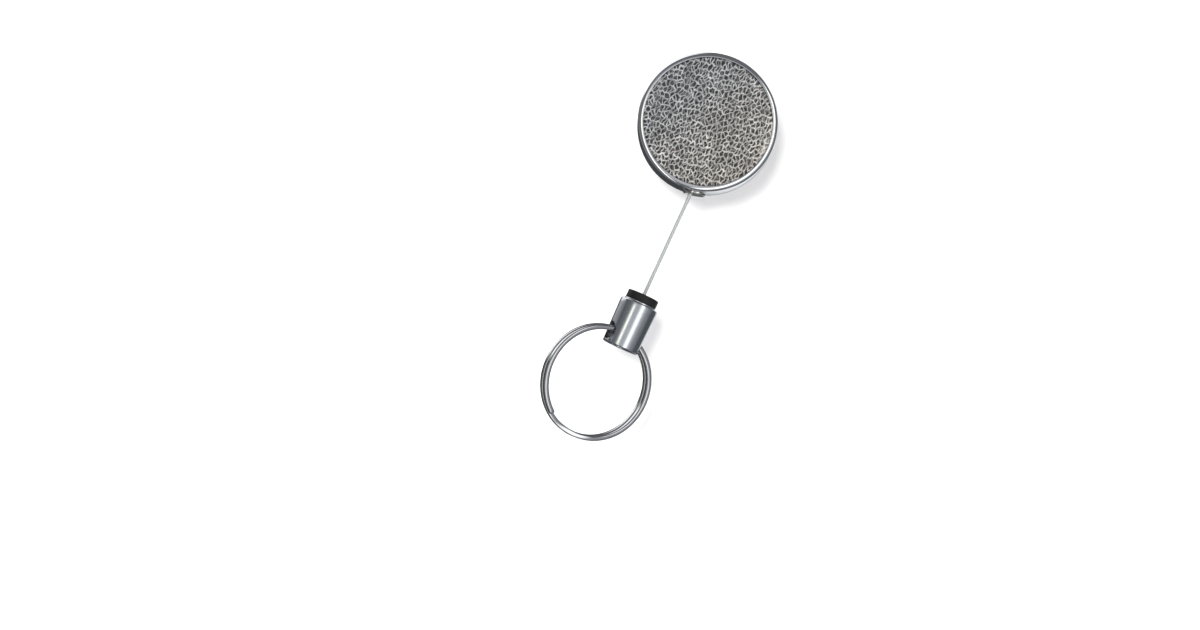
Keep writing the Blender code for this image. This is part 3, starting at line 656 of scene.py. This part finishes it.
def disc_grid(count, radius):
    """A square grid of points pressed into a disc, row by row."""
    line = np.linspace(-1.0, 1.0, count)
    a, b = np.meshgrid(line, line, indexing="ij")
    a, b = a.ravel(), b.ravel()
    wide = np.abs(a) > np.abs(b)
    reach = np.where(wide, a, b)
    safe_a, safe_b = np.where(a == 0, 1.0, a), np.where(b == 0, 1.0, b)
    angle = np.where(wide, math.pi / 4 * b / safe_a, math.pi / 2 - math.pi / 4 * a / safe_b)
    return reach * np.cos(angle) * radius, reach * np.sin(angle) * radius


def leather_relief(x, y):
    """(height, crease share) of the grain: pebbles parted by creases of two sizes."""
    bent_x = x + 0.16 * np.sin(2.3 * y + 0.7) + 0.10 * np.sin(4.1 * x + 2.9 * y)
    bent_y = y + 0.16 * np.sin(2.0 * x + 1.1) + 0.10 * np.sin(3.7 * y - 2.3 * x)
    tilt = bent_x - GRAIN_SLANT * bent_y
    coarse = cell_edges(tilt, bent_y * 0.62, COARSE_CELL, COARSE_SEED)
    medium = cell_edges(tilt + 5.0, bent_y * 0.6, FINE_CELL, FINE_SEED)
    strength = 0.72 + 0.28 * np.sin(0.9 * x + 1.3 * y) * np.sin(1.1 * y - 0.6 * x + 0.5)
    wide = np.exp(-((coarse / COARSE_CREASE) ** 2)) * strength
    fine = np.exp(-((medium / FINE_CREASE) ** 2)) * (1.15 - strength)
    dome = GRAIN_DEEP * (1.0 - np.exp(-coarse / 0.16)) + 0.015 * (1.0 - np.exp(-medium / 0.1))
    return dome - GRAIN_DEEP * wide - 0.02 * fine, np.clip(wide + 0.6 * fine, 0.0, 1.0)


def make_leather_face():
    """The inlay: a grained disc with a turned-down edge."""
    count = GRAIN_STEPS
    flat, top = INLAY_RADIUS - INLAY_ROUND, INLAY_FRONT - GRAIN_DEEP
    x, y = disc_grid(count, flat)
    height, crease = leather_relief(x, y)
    height = height * np.clip((INLAY_RADIUS - np.hypot(x, y)) / GRAIN_FADE, 0.3, 1.0)
    index = np.arange(count * count).reshape(count, count)
    border = np.concatenate([index[0, :-1], index[:-1, -1], index[-1, :0:-1], index[:0:-1, 0]])
    angle = np.arctan2(y[border], x[border])
    verts, creases = [np.stack([x, y, top + height], axis=1)], [crease]
    faces = grid_faces(count, count, False, False)
    edge = []
    for turn in EDGE_TURNS:
        drop = INLAY_ROUND * (1 - math.cos(turn))
        edge.append((flat + INLAY_ROUND * math.sin(turn), top - drop, EDGE_RELIEF))
    edge.append((INLAY_RADIUS, INLAY_REAR, 0.0))
    last, total = border, count * count
    for radius, level, relief in edge:
        lift = height[border] * relief
        verts.append(np.stack([radius * np.cos(angle), radius * np.sin(angle), level + lift], axis=1))
        creases.append(crease[border])
        here = np.arange(total, total + len(border))
        faces += zip(last, np.roll(last, -1), np.roll(here, -1), here)
        last, total = here, total + len(border)
    faces.append(last)
    faces = [tuple(int(i) for i in face) for face in faces]
    leather = add_piece("leather_face", np.concatenate(verts), faces, "leather", FRONTWARD, 75.0)
    attribute = leather.data.attributes.new("crease", "FLOAT", "POINT")
    attribute.data.foreach_set("value", np.concatenate(creases).astype(np.float32))
    turn_outward(leather)
    settle(leather, "case", "leather", "leather_inlay")


def make_back_plate():
    """A stamped plate with two raised rings round its middle."""
    rear, front = PLATE_REAR, PLATE_FRONT
    corners = [(PLATE_HOLE_RADIUS, rear, 0.1), (8.2, rear, 0.6), (8.8, rear + 0.3, 0.4)]
    corners += [(9.9, rear + 0.3, 0.4)]
    corners += [(10.5, rear, 0.6), (14.4, rear, 0.6), (15.0, rear + 0.25, 0.4), (15.8, rear + 0.25, 0.4)]
    corners += [(16.4, rear, 0.5), (PLATE_RADIUS, rear, 0.1), (PLATE_RADIUS, front, 0.1)]
    corners += [(PLATE_HOLE_RADIUS, front, 0.1)]
    plate = turned("case_back", rounded(corners), "zinc_plate", FRONTWARD)
    settle(plate, "case", "zinc_plate", "back_plate")


def make_outlet_eyelet():
    """A flanged bush set in the wall, its mouth rounded for the cable."""
    wall = -CASE_RADIUS
    corners = [(1.95, wall + 1.25, 0.2), (2.5, wall + 1.2, 0.15), (2.65, wall + 0.95, 0.1)]
    corners += [(2.1, wall + 0.76, 0.1), (2.1, wall - 0.03), (3.2, wall - 0.05, 0.08)]
    corners += [(3.2, wall - 0.45, 0.25), (2.9, wall - 0.71, 0.2), (2.5, wall - 0.71, 0.3)]
    corners += [(1.75, wall - 0.15, 0.6), (1.4, wall + 0.4, 0.4), (1.45, wall + 0.95, 0.2)]
    eyelet = turned("case_eyelet", rounded(corners), "polished_nickel", steps=96)
    settle(eyelet, "case", "polished_nickel", "outlet_eyelet")


# ---------------------------------------------------------------- cable


def cable_path():
    """The cable's middle from the spool through the eyelet to the ferrule."""
    reach = math.hypot(*THROAT)
    angle = math.atan2(THROAT[1], THROAT[0]) + math.acos(OUTER_LAYER_RADIUS / reach)
    start = np.array([math.cos(angle), 0.0, math.sin(angle)]) * OUTER_LAYER_RADIUS
    throat = np.array([THROAT[0], 0.0, THROAT[1]])
    start += (throat - start) / np.linalg.norm(throat - start) * 0.2
    down = np.array([-math.sin(math.radians(LEAN_DEG)), 0.0, -math.cos(math.radians(LEAN_DEG))])
    pivot = np.array(PIVOT)
    knots = [start, (start + throat) / 2, throat + [0.25, 0.0, 0.35], throat + [-0.12, 0.0, -0.2]]
    knots += [np.array([INNER_RUN_END[0], 0.0, INNER_RUN_END[1]]), pivot, pivot + down * 1.0]
    knots += [pivot + down * 3.0, pivot + down * CABLE_END_AT]
    return resample(smooth_path(knots), CABLE_STEP), down


def cable_piece(name, path, first, last, bodies, nodes):
    """One stretch of the cable: twisted strands under a smooth coat, in the row frame."""
    section = circle(CABLE_RADIUS, CABLE_SIDES, CABLE_STRANDS, CABLE_GROOVE)
    turned_by = CABLE_TWIST * first
    spin = np.array([[math.cos(turned_by), -math.sin(turned_by)], [math.sin(turned_by), math.cos(turned_by)]])
    stretch = path[first : last + 1]
    piece = tube(name, stretch, section @ spin, "coated_cable", twist=CABLE_TWIST)
    angles = np.linspace(0.0, 2 * math.pi, CABLE_SIDES, endpoint=False)
    # Painted shade mask: 1 on each strand's crown, falling to 0 in the gap between strands.
    shade = 0.5 + 0.5 * np.cos(CABLE_STRANDS * angles)
    shade = np.tile(shade, len(stretch)).astype(np.float32)
    attribute = piece.data.attributes.new("painted_strand_shade", "FLOAT", "POINT")
    attribute.data.foreach_set("value", shade)
    if len(bodies) == 1:
        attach(piece, bodies[0])
    else:
        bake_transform(piece)
    if nodes:
        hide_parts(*nodes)


def make_cable():
    path, down = cable_path()
    heights = path[:, 2]
    mouth = int(np.argmax(heights < MOUTH_HEIGHTS[0]))
    lip = int(np.argmax(heights < MOUTH_HEIGHTS[1]))
    pivot = np.array(PIVOT)
    along = (path - pivot) @ down
    bend = int(np.argmax(along > BEND_END_AT))
    last = len(path) - 1

    cable_piece("cable_inner", path, 0, mouth, ["case"], ["cable_inner_run"])
    cable_piece("cable_mouth", path, mouth, lip, ["case", "cable_turn"], [])
    nodes = ["cable_bend_upper", "cable_bend_lower"]
    cable_piece("cable_bend", path, lip, bend, ["cable_turn", "cable_lean"], nodes)
    cable_piece("cable_free", path, bend, last, ["cable_lean", "cable_end"], ["cable_free_run"])


# ---------------------------------------------------------------- barrel and ring


def make_bumper():
    top, low = -BUMPER_AT, -BUMPER_AT - BUMPER_LONG
    corners = [(0.72, top, 0.15), (BUMPER_RADIUS, top, 0.14), (BUMPER_RADIUS, low, 0.12)]
    corners += [(0.72, low, 0.1)]
    bumper = turned("bumper_ring", rounded(corners), "black_rubber", BARREL)
    settle(bumper, "barrel", "black_rubber", "bumper")


def make_barrel():
    """A turned barrel with a rounded shoulder, bored from below and cross-drilled for the ring."""
    end, boss, shoulder = -BARREL_END_AT, -BUMPER_AT - 2.28, -BUMPER_AT - 2.65
    plate = boss - 2.0
    corners = [(0.95, boss, 0.1), (4.5, boss, 0.12), (4.5, shoulder, 0.08)]
    corners += [(BARREL_TOP_RADIUS - 0.05, shoulder, 0.75), (BARREL_TOP_RADIUS, shoulder - 1.2)]
    for k in range(1, TAPER_STEPS):
        share = k / TAPER_STEPS
        radius = BARREL_TOP_RADIUS + (BARREL_END_RADIUS - BARREL_TOP_RADIUS) * share
        corners.append((radius, shoulder - 1.2 + (end + 0.6 - shoulder + 1.2) * share))
    corners += [(BARREL_END_RADIUS, end + 0.6), (BARREL_END_RADIUS, end, 0.38), (2.25, end, 0.2)]
    corners += [(2.25, plate, 0.2), (0.95, plate, 0.1)]
    barrel = turned("swivel_barrel", rounded(corners), "satin_metal", BARREL, steps=192)
    cut(barrel, rod(CROSS_HOLE_RADIUS, -8.0, 8.0, HINGE @ ALONG_X))
    bevel(barrel, 0.14, 3, 50.0)
    settle(barrel, "barrel", "satin_metal", "barrel")


def make_split_ring():
    """Flat spring wire wound in two close turns, with a jog where one becomes the other."""
    middle = RING_OUTER_RADIUS - RING_WIDE / 2
    section = domed_section(RING_WIDE / 2, RING_COIL_THICK / 2, RING_SQUARENESS, 36)
    steps = RING_STEPS
    last = int(RING_TURNS * steps)
    jog = steps // RING_JOGS_A_TURN
    rows = []
    for i in range(last + 1):
        angle = math.radians(RING_START_DEG) + 2 * math.pi * i / steps
        t = min(max((i - steps + jog * RING_JOG_EARLY) / jog, 0.0), 1.0)
        rise = RING_PITCH * (t * t * (3 - 2 * t) - 0.5)
        from_end = min(i, last - i) * 2 * math.pi * middle / steps
        squeeze = 1.0 - RING_END_TAPER * max(0.0, 1.0 - from_end / RING_TAPER_LONG) ** 2
        reach = middle + section[:, 0] * squeeze
        lift = rise + section[:, 1] * squeeze
        rows.append(np.stack([reach * math.cos(angle), reach * math.sin(angle), lift], axis=1))
    count = len(section)
    verts = np.concatenate(rows)
    faces = grid_faces(len(rows), count, False, True)
    faces += [tuple(range(count)), tuple(reversed(range(len(verts) - count, len(verts))))]
    drop = math.sqrt(middle**2 - RING_ASIDE**2) - RING_ABOVE_HOLE
    matrix = HINGE @ place((-RING_ASIDE, 0.0, -drop), (QUARTER, 0.0, 0.0))
    ring = add_piece("key_ring", verts, faces, "ring_steel", UPRIGHT, 50.0)
    ring.data.transform(matrix)
    turn_outward(ring, merge=True)
    settle(ring, "ring", "chrome", "split_ring")


# ---------------------------------------------------------------- clip


def make_swivel_rivet():
    head = -CLIP_BASE_FACE - CLIP_SHEET - 0.07
    neck = PLATE_REAR - 0.07
    corners = [(0.0, -0.9), (1.0, -0.9, 0.15), (1.0, neck), (1.9, neck, 0.1), (1.9, head)]
    corners += [(3.1, head, 0.08), (3.1, head - 0.22, 0.2), (2.5, head - 0.55, 0.7), (1.3, head - 0.75, 1.2)]
    corners += [(0.0, head - 0.75)]
    rivet = turned("clip_rivet", rounded(corners), "polished_nickel", FRONTWARD, steps=96)
    settle(rivet, "case", "polished_nickel", "swivel_rivet")


def make_clip_washer():
    low, high = CLIP_WASHER
    corners = [(2.0, low, 0.15), (4.5, low, 0.2), (4.5, high, 0.2), (2.0, high, 0.15)]
    washer = turned("swivel_washer", rounded(corners), "nylon_washer", FRONTWARD, steps=96)
    settle(washer, "case", "nylon_washer", "clip_washer")


def sheet(name, path, half_width, crown, material, matrix):
    """A stamped strip: its side path of (y, z), half width along it, crown across it and teeth at its tip."""
    path = resample(np.array([(0.0, y, z) for y, z in path]), SHEET_STEP)
    rows, across = len(path), SHEET_ACROSS
    share = np.linspace(0.0, 1.0, rows)
    tangent = np.gradient(path, axis=0)
    tangent /= np.linalg.norm(tangent, axis=1)[:, None]
    normal = np.stack([np.zeros(rows), -tangent[:, 2], tangent[:, 1]], axis=1)
    verts = []
    for i in range(rows):
        wide = half_width(share[i])
        u = np.linspace(-1.0, 1.0, across)
        bulge = crown(share[i], u)
        teeth = np.zeros(across)
        if i == 0:
            teeth = TOOTH_LONG * np.abs(((u * TIP_TEETH) % 1.0) - 0.5) * 2.0
        row = path[i] + np.outer(bulge, normal[i]) + np.outer(teeth, tangent[i])
        row[:, 0] += u * wide
        verts.append(row)
    faces = grid_faces(rows, across, False, False)
    strip = add_piece(name, np.concatenate(verts), faces, material, matrix)
    solidify = strip.modifiers.new("sheet", "SOLIDIFY")
    solidify.thickness = CLIP_SHEET * MM
    solidify.offset = 0.0
    solidify.use_even_offset = False
    apply_modifiers(strip)
    return strip


def ear(x, thick, radius, hole, foot, material, matrix):
    """A round ear about the pin with its web reaching down (y) to the sheet, as a plate across x."""
    count = EAR_SIDES
    angles = np.linspace(0.0, 2 * math.pi, count, endpoint=False)
    outer = np.stack([radius * np.cos(angles), radius * np.sin(angles)], axis=1)
    toward = math.copysign(1.0, foot)
    web = (outer[:, 0] * toward > 0) if abs(foot) > 0.01 else np.zeros(count, bool)
    outer[web, 0] = foot
    inner = np.stack([hole * np.cos(angles), hole * np.sin(angles)], axis=1)
    low, high = x - thick / 2, x + thick / 2
    loops = [(inner, low), (outer, low), (outer, high), (inner, high)]
    verts = np.concatenate([np.column_stack([np.full(count, level), loop]) for loop, level in loops])
    faces = grid_faces(4, count, True, True)
    piece = add_piece("ear", verts, faces, material, matrix)
    turn_outward(piece, merge=True)
    return piece


def make_clip_base():
    """The fixed jaw: a plate with rounded corners, a raised rib, folded ears and a toothed tip."""
    y = CLIP_BASE_FACE + CLIP_SHEET / 2
    side = [(y + 0.45, CLIP_JAW_Z), (y + 0.12, CLIP_JAW_Z + 0.8), (y, CLIP_JAW_Z + 1.5), (y, CLIP_TOP_Z)]

    def half_width(share):
        end = max(0.0, (share - 0.86) / 0.14)
        tip = max(0.0, (0.25 - share) / 0.25)
        return CLIP_HALF_WIDE * math.sqrt(max(1.0 - 0.75 * end**2, 0.2)) - 1.4 * tip**1.5

    def crown(share, u):
        along = math.exp(-(((share - 0.2) / 0.09) ** 4))
        return 0.3 * along * np.exp(-((np.abs(u) / 0.28) ** 4))

    base = sheet("clip_base_plate", side, half_width, crown, "polished_nickel", UPRIGHT)
    cut(base, rod(2.0, -9.0, -4.0, FRONTWARD))
    reach = CLIP_BASE_FACE + CLIP_SHEET / 2 - PIN_Y
    ear_x = CLIP_HALF_WIDE - CLIP_SHEET / 2
    ears = [ear(x, CLIP_SHEET, 2.7, 1.08, reach, "polished_nickel", LEVER) for x in (-ear_x, ear_x)]
    base = join_pieces("clip_base_plate", [base] + ears)
    bevel(base, 0.13, 2, 50.0)
    settle(base, "clip", "polished_nickel", "clip_base")


def make_clip_lever():
    """The moving jaw: a bent strip, narrow at its toothed tip, with ridges pressed in its thumb pad."""
    knots = [(-2.55, -20.6), (-1.1, -19.5), (0.2, -18.2), (1.2, -12.0), (2.1, -5.0), (2.6, -1.0), (3.1, 3.0)]
    knots += [(4.1, 5.2), (4.4, 6.6), (4.4, 10.6)]
    path = smooth_path([(0.0, y, z) for y, z in knots], 2)[:, 1:]

    def half_width(share):
        end = max(0.0, (share - 0.84) / 0.16)
        tip = max(0.0, (0.45 - share) / 0.45)
        return LEVER_HALF_WIDE * math.sqrt(max(1.0 - 0.8 * end**2.5, 0.15)) - 1.3 * tip

    def crown(share, u):
        rib = 0.28 * math.exp(-(((share - 0.36) / 0.2) ** 6)) * np.exp(-((np.abs(u) / 0.3) ** 4))
        ridges = 0.16 * math.exp(-(((share - 0.89) / 0.07) ** 6)) * math.sin(share * 2 * math.pi * 22)
        return rib + ridges * (np.abs(u) < 0.72)

    lever = sheet("clip_lever_jaw", path, half_width, crown, "polished_nickel", LEVER)
    ear_x = LEVER_HALF_WIDE - CLIP_SHEET / 2
    ears = [ear(x, CLIP_SHEET - 0.04, 2.0, 1.08, 2.5, "polished_nickel", LEVER) for x in (-ear_x, ear_x)]
    lever = join_pieces("clip_lever_jaw", [lever] + ears)
    bevel(lever, 0.12, 2, 50.0)
    settle(lever, "clip_lever", "polished_nickel", "clip_lever")


def make_clip_pin():
    face, end = CLIP_HALF_WIDE + 0.07, CLIP_HALF_WIDE + 0.75
    upper = [(0.0, end), (1.1, end, 0.5), (1.6, end - 0.2, 0.3), (1.6, face, 0.08), (1.0, face)]
    lower = [(corner[0], -corner[1], *corner[2:]) for corner in reversed(upper)]
    pin = turned("hinge_pin", rounded(upper + lower), "zinc_plate", LEVER @ ALONG_X, steps=72)
    settle(pin, "clip", "zinc_plate", "clip_pin")


def make_clip_spring():
    """A torsion spring wound round the pin, one leg on each jaw, that winds up as the jaw opens."""
    radius, pitch, steps = SPRING_COIL_RADIUS, SPRING_PITCH, SPRING_STEPS
    half = pitch * SPRING_TURNS / 2
    coil = []
    for i in range(round(SPRING_TURNS * steps) + 1):
        angle = math.radians(SPRING_START_DEG) + 2 * math.pi * i / steps
        coil.append((-half + pitch * i / steps, radius * math.sin(angle), radius * math.cos(angle)))
    path = [(-half, -2.75, 6.2)] + coil + [(half, 2.55, 5.2)]
    path = resample(smooth_path(path, 1), 0.25)
    wire = circle(SPRING_WIRE_RADIUS, 14)
    spring = tube("jaw_spring", path, wire, "spring_steel", LEVER, up=(1.0, 0.2, 0.1))
    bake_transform(spring)
    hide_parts("clip_spring")


# ---------------------------------------------------------------- parts kept from the frame


def dress_kept_nodes(frame):
    """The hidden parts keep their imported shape, with eased edges and their own finishes."""
    slots = {row["node"]: row["material_slot"] for row in frame["record"]["subparts"]}
    for name, obj in frame["nodes"].items():
        if obj.hide_render:
            continue
        obj.data.materials.clear()
        obj.data.materials.append(MATERIALS[slots[name]])
        welded = obj.modifiers.new("weld", "WELD")
        welded.merge_threshold = 1e-6
        eased = obj.modifiers.new("ease", "BEVEL")
        eased.width = 0.03 * MM
        eased.segments = 2
        eased.limit_method = "ANGLE"
        eased.angle_limit = math.radians(40.0)


# ---------------------------------------------------------------- stage


def make_stage_material(name, colour, glow):
    """Pale matte paper, seen only from its front and never in a polished surface."""
    material = bpy.data.materials.new(name)
    material.use_nodes = True
    graph = Graph(material.node_tree)
    rays = graph.add("ShaderNodeLightPath")
    behind = graph.add("ShaderNodeNewGeometry").outputs["Backfacing"]
    hidden = graph.math("MAXIMUM", rays.outputs["Is Glossy Ray"], behind)
    matte = graph.add("ShaderNodeBsdfDiffuse", {"Color": rgb(*colour)}).outputs[0]
    glowing = graph.add("ShaderNodeEmission", {"Color": rgb(*colour), "Strength": glow}).outputs[0]
    paper = graph.add("ShaderNodeAddShader", {0: matte, 1: glowing}).outputs[0]
    clear = graph.add("ShaderNodeBsdfTransparent").outputs[0]
    mixed = graph.add("ShaderNodeMixShader", {0: hidden, 1: paper, 2: clear}).outputs[0]
    graph.add("ShaderNodeOutputMaterial", {0: mixed})
    return material


def add_sheet_of_paper(name, corners, material):
    mesh = bpy.data.meshes.new(name)
    mesh.from_pydata([Vector(c) * MM for c in corners], [], [(0, 1, 2, 3)])
    mesh.materials.append(material)
    obj = bpy.data.objects.new(name, mesh)
    bpy.context.scene.collection.objects.link(obj)
    return obj


def make_stage():
    far, y = BACKDROP_FAR, BACKDROP_Y
    corners = [(-far, y, FLOOR_Z), (far, y, FLOOR_Z), (far, y, far), (-far, y, far)]
    add_sheet_of_paper("backdrop", corners, make_stage_material("backdrop_paper", (0.815, 0.815, 0.825), 0.0))
    far = FLOOR_FAR
    corners = [(-far, -far, FLOOR_Z), (far, -far, FLOOR_Z), (far, far, FLOOR_Z), (-far, far, FLOOR_Z)]
    add_sheet_of_paper("floor", corners, make_stage_material("floor_paper", (0.9, 0.9, 0.9), 0.62))


def add_light(name, direction, distance, size, watts, colour):
    """A soft square light that looks at the reel's middle and isn't seen in polished surfaces."""
    lamp = bpy.data.lights.new(name, "AREA")
    lamp.size = size
    lamp.energy = watts
    lamp.color = colour
    obj = bpy.data.objects.new(name, lamp)
    bpy.context.scene.collection.objects.link(obj)
    away = Vector(direction).normalized()
    obj.location = LIT_MIDDLE + away * distance
    obj.rotation_mode = "QUATERNION"
    obj.rotation_quaternion = away.to_track_quat("Z", "Y")
    obj.visible_glossy = False
    obj.visible_camera = False


def make_lights():
    add_light("key", (-0.12, -1.0, 0.035), 1.1, 0.17, 11.5, (1.0, 0.99, 0.97))
    add_light("fill", (0.7, -1.0, -0.3), 1.3, 1.0, 3.0, (1.0, 0.98, 0.95))
    add_light("rear", (0.3, 1.0, 0.6), 1.2, 0.8, 14.0, (0.97, 0.98, 1.0))


def make_world():
    """What polished surfaces see: soft boxes in a grey studio, placed about the barrel's leaning axis."""
    world = bpy.data.worlds.new("studio")
    bpy.context.scene.world = world
    world.use_nodes = True
    graph = Graph(world.node_tree)
    direction = graph.add("ShaderNodeTexCoord").outputs["Generated"]
    x, y, z = graph.split(direction)
    lean = math.radians(LEAN_DEG)
    cos, sin = math.cos(lean), math.sin(lean)
    aside = graph.math("ADD", graph.math("MULTIPLY", x, cos), graph.math("MULTIPLY", z, -sin))
    height = graph.math("ADD", graph.math("MULTIPLY", x, sin), graph.math("MULTIPLY", z, cos))
    toward = graph.math("MULTIPLY", y, -1.0)
    azimuth = graph.math("MULTIPLY", graph.math("ARCTAN2", aside, toward), 180 / math.pi)
    rise = graph.math("MULTIPLY", graph.math("ARCSINE", height), 180 / math.pi)

    grey = graph.mix(graph.ramp(azimuth, 38.0, 100.0), rgb(0.47, 0.49, 0.52), rgb(0.09, 0.10, 0.11))
    grey = graph.mix(graph.ramp(azimuth, -45.0, -25.0, 1.0, 0.0), grey, rgb(0.15, 0.16, 0.175))
    grey = graph.mix(graph.ramp(azimuth, -100.0, -50.0, 1.0, 0.0), grey, rgb(0.06, 0.07, 0.08))
    behind = graph.ramp(graph.math("ABSOLUTE", azimuth), 115.0, 150.0)
    grey = graph.mix(behind, grey, rgb(0.05, 0.055, 0.06))
    grey = graph.mix(graph.ramp(rise, 8.0, 32.0), grey, rgb(0.135, 0.14, 0.15))
    grey = graph.mix(graph.ramp(rise, -58.0, -30.0, 1.0, 0.0), grey, rgb(0.15, 0.155, 0.165))

    colour = grey
    for left, right, soft, low, high, shade in SOFT_BOXES:
        across = graph.band(azimuth, left, right, soft)
        upright = graph.band(rise, low, high, BOX_SOFT_TOP)
        colour = graph.mix(graph.math("MULTIPLY", across, upright), colour, rgb(*shade))

    rays = graph.add("ShaderNodeLightPath").outputs
    studio = graph.add("ShaderNodeBackground", {"Color": colour, "Strength": 1.0}).outputs[0]
    soft = graph.add("ShaderNodeBackground", {"Color": rgb(0.97, 0.985, 1.0), "Strength": 0.5}).outputs[0]
    white = graph.add("ShaderNodeBackground", {"Color": rgb(1.0, 1.0, 1.0), "Strength": 1.0}).outputs[0]
    lit = graph.add("ShaderNodeMixShader", {0: rays["Is Glossy Ray"], 1: soft, 2: studio}).outputs[0]
    seen = graph.add("ShaderNodeMixShader", {0: rays["Is Camera Ray"], 1: lit, 2: white}).outputs[0]
    graph.add("ShaderNodeOutputWorld", {0: seen})


def make_camera():
    camera = bpy.data.cameras.new("camera")
    camera.sensor_width = SENSOR
    camera.lens = SENSOR * CAMERA_AWAY / FRAME_WIDE
    camera.clip_start = 0.01
    camera.clip_end = 20.0
    obj = bpy.data.objects.new("camera", camera)
    bpy.context.scene.collection.objects.link(obj)
    aimed = place(CAMERA_AIM, (QUARTER, 0.0, 0.0)) @ Matrix.Rotation(math.radians(CAMERA_ROLL_DEG), 4, "Z")
    lowered = Matrix.Rotation(math.radians(CAMERA_BELOW_DEG), 4, "X")
    obj.matrix_world = aimed @ lowered @ place((0.0, 0.0, CAMERA_AWAY))
    bpy.context.scene.camera = obj


def main():
    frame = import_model()
    make_materials()
    make_case_shell()
    make_leather_face()
    make_back_plate()
    make_outlet_eyelet()
    make_cable()
    make_bumper()
    make_barrel()
    make_split_ring()
    make_swivel_rivet()
    make_clip_washer()
    make_clip_base()
    make_clip_lever()
    make_clip_pin()
    make_clip_spring()
    dress_kept_nodes(frame)
    make_stage()
    make_lights()
    make_world()
    make_camera()
    bpy.context.scene.view_settings.view_transform = "Standard"


main()
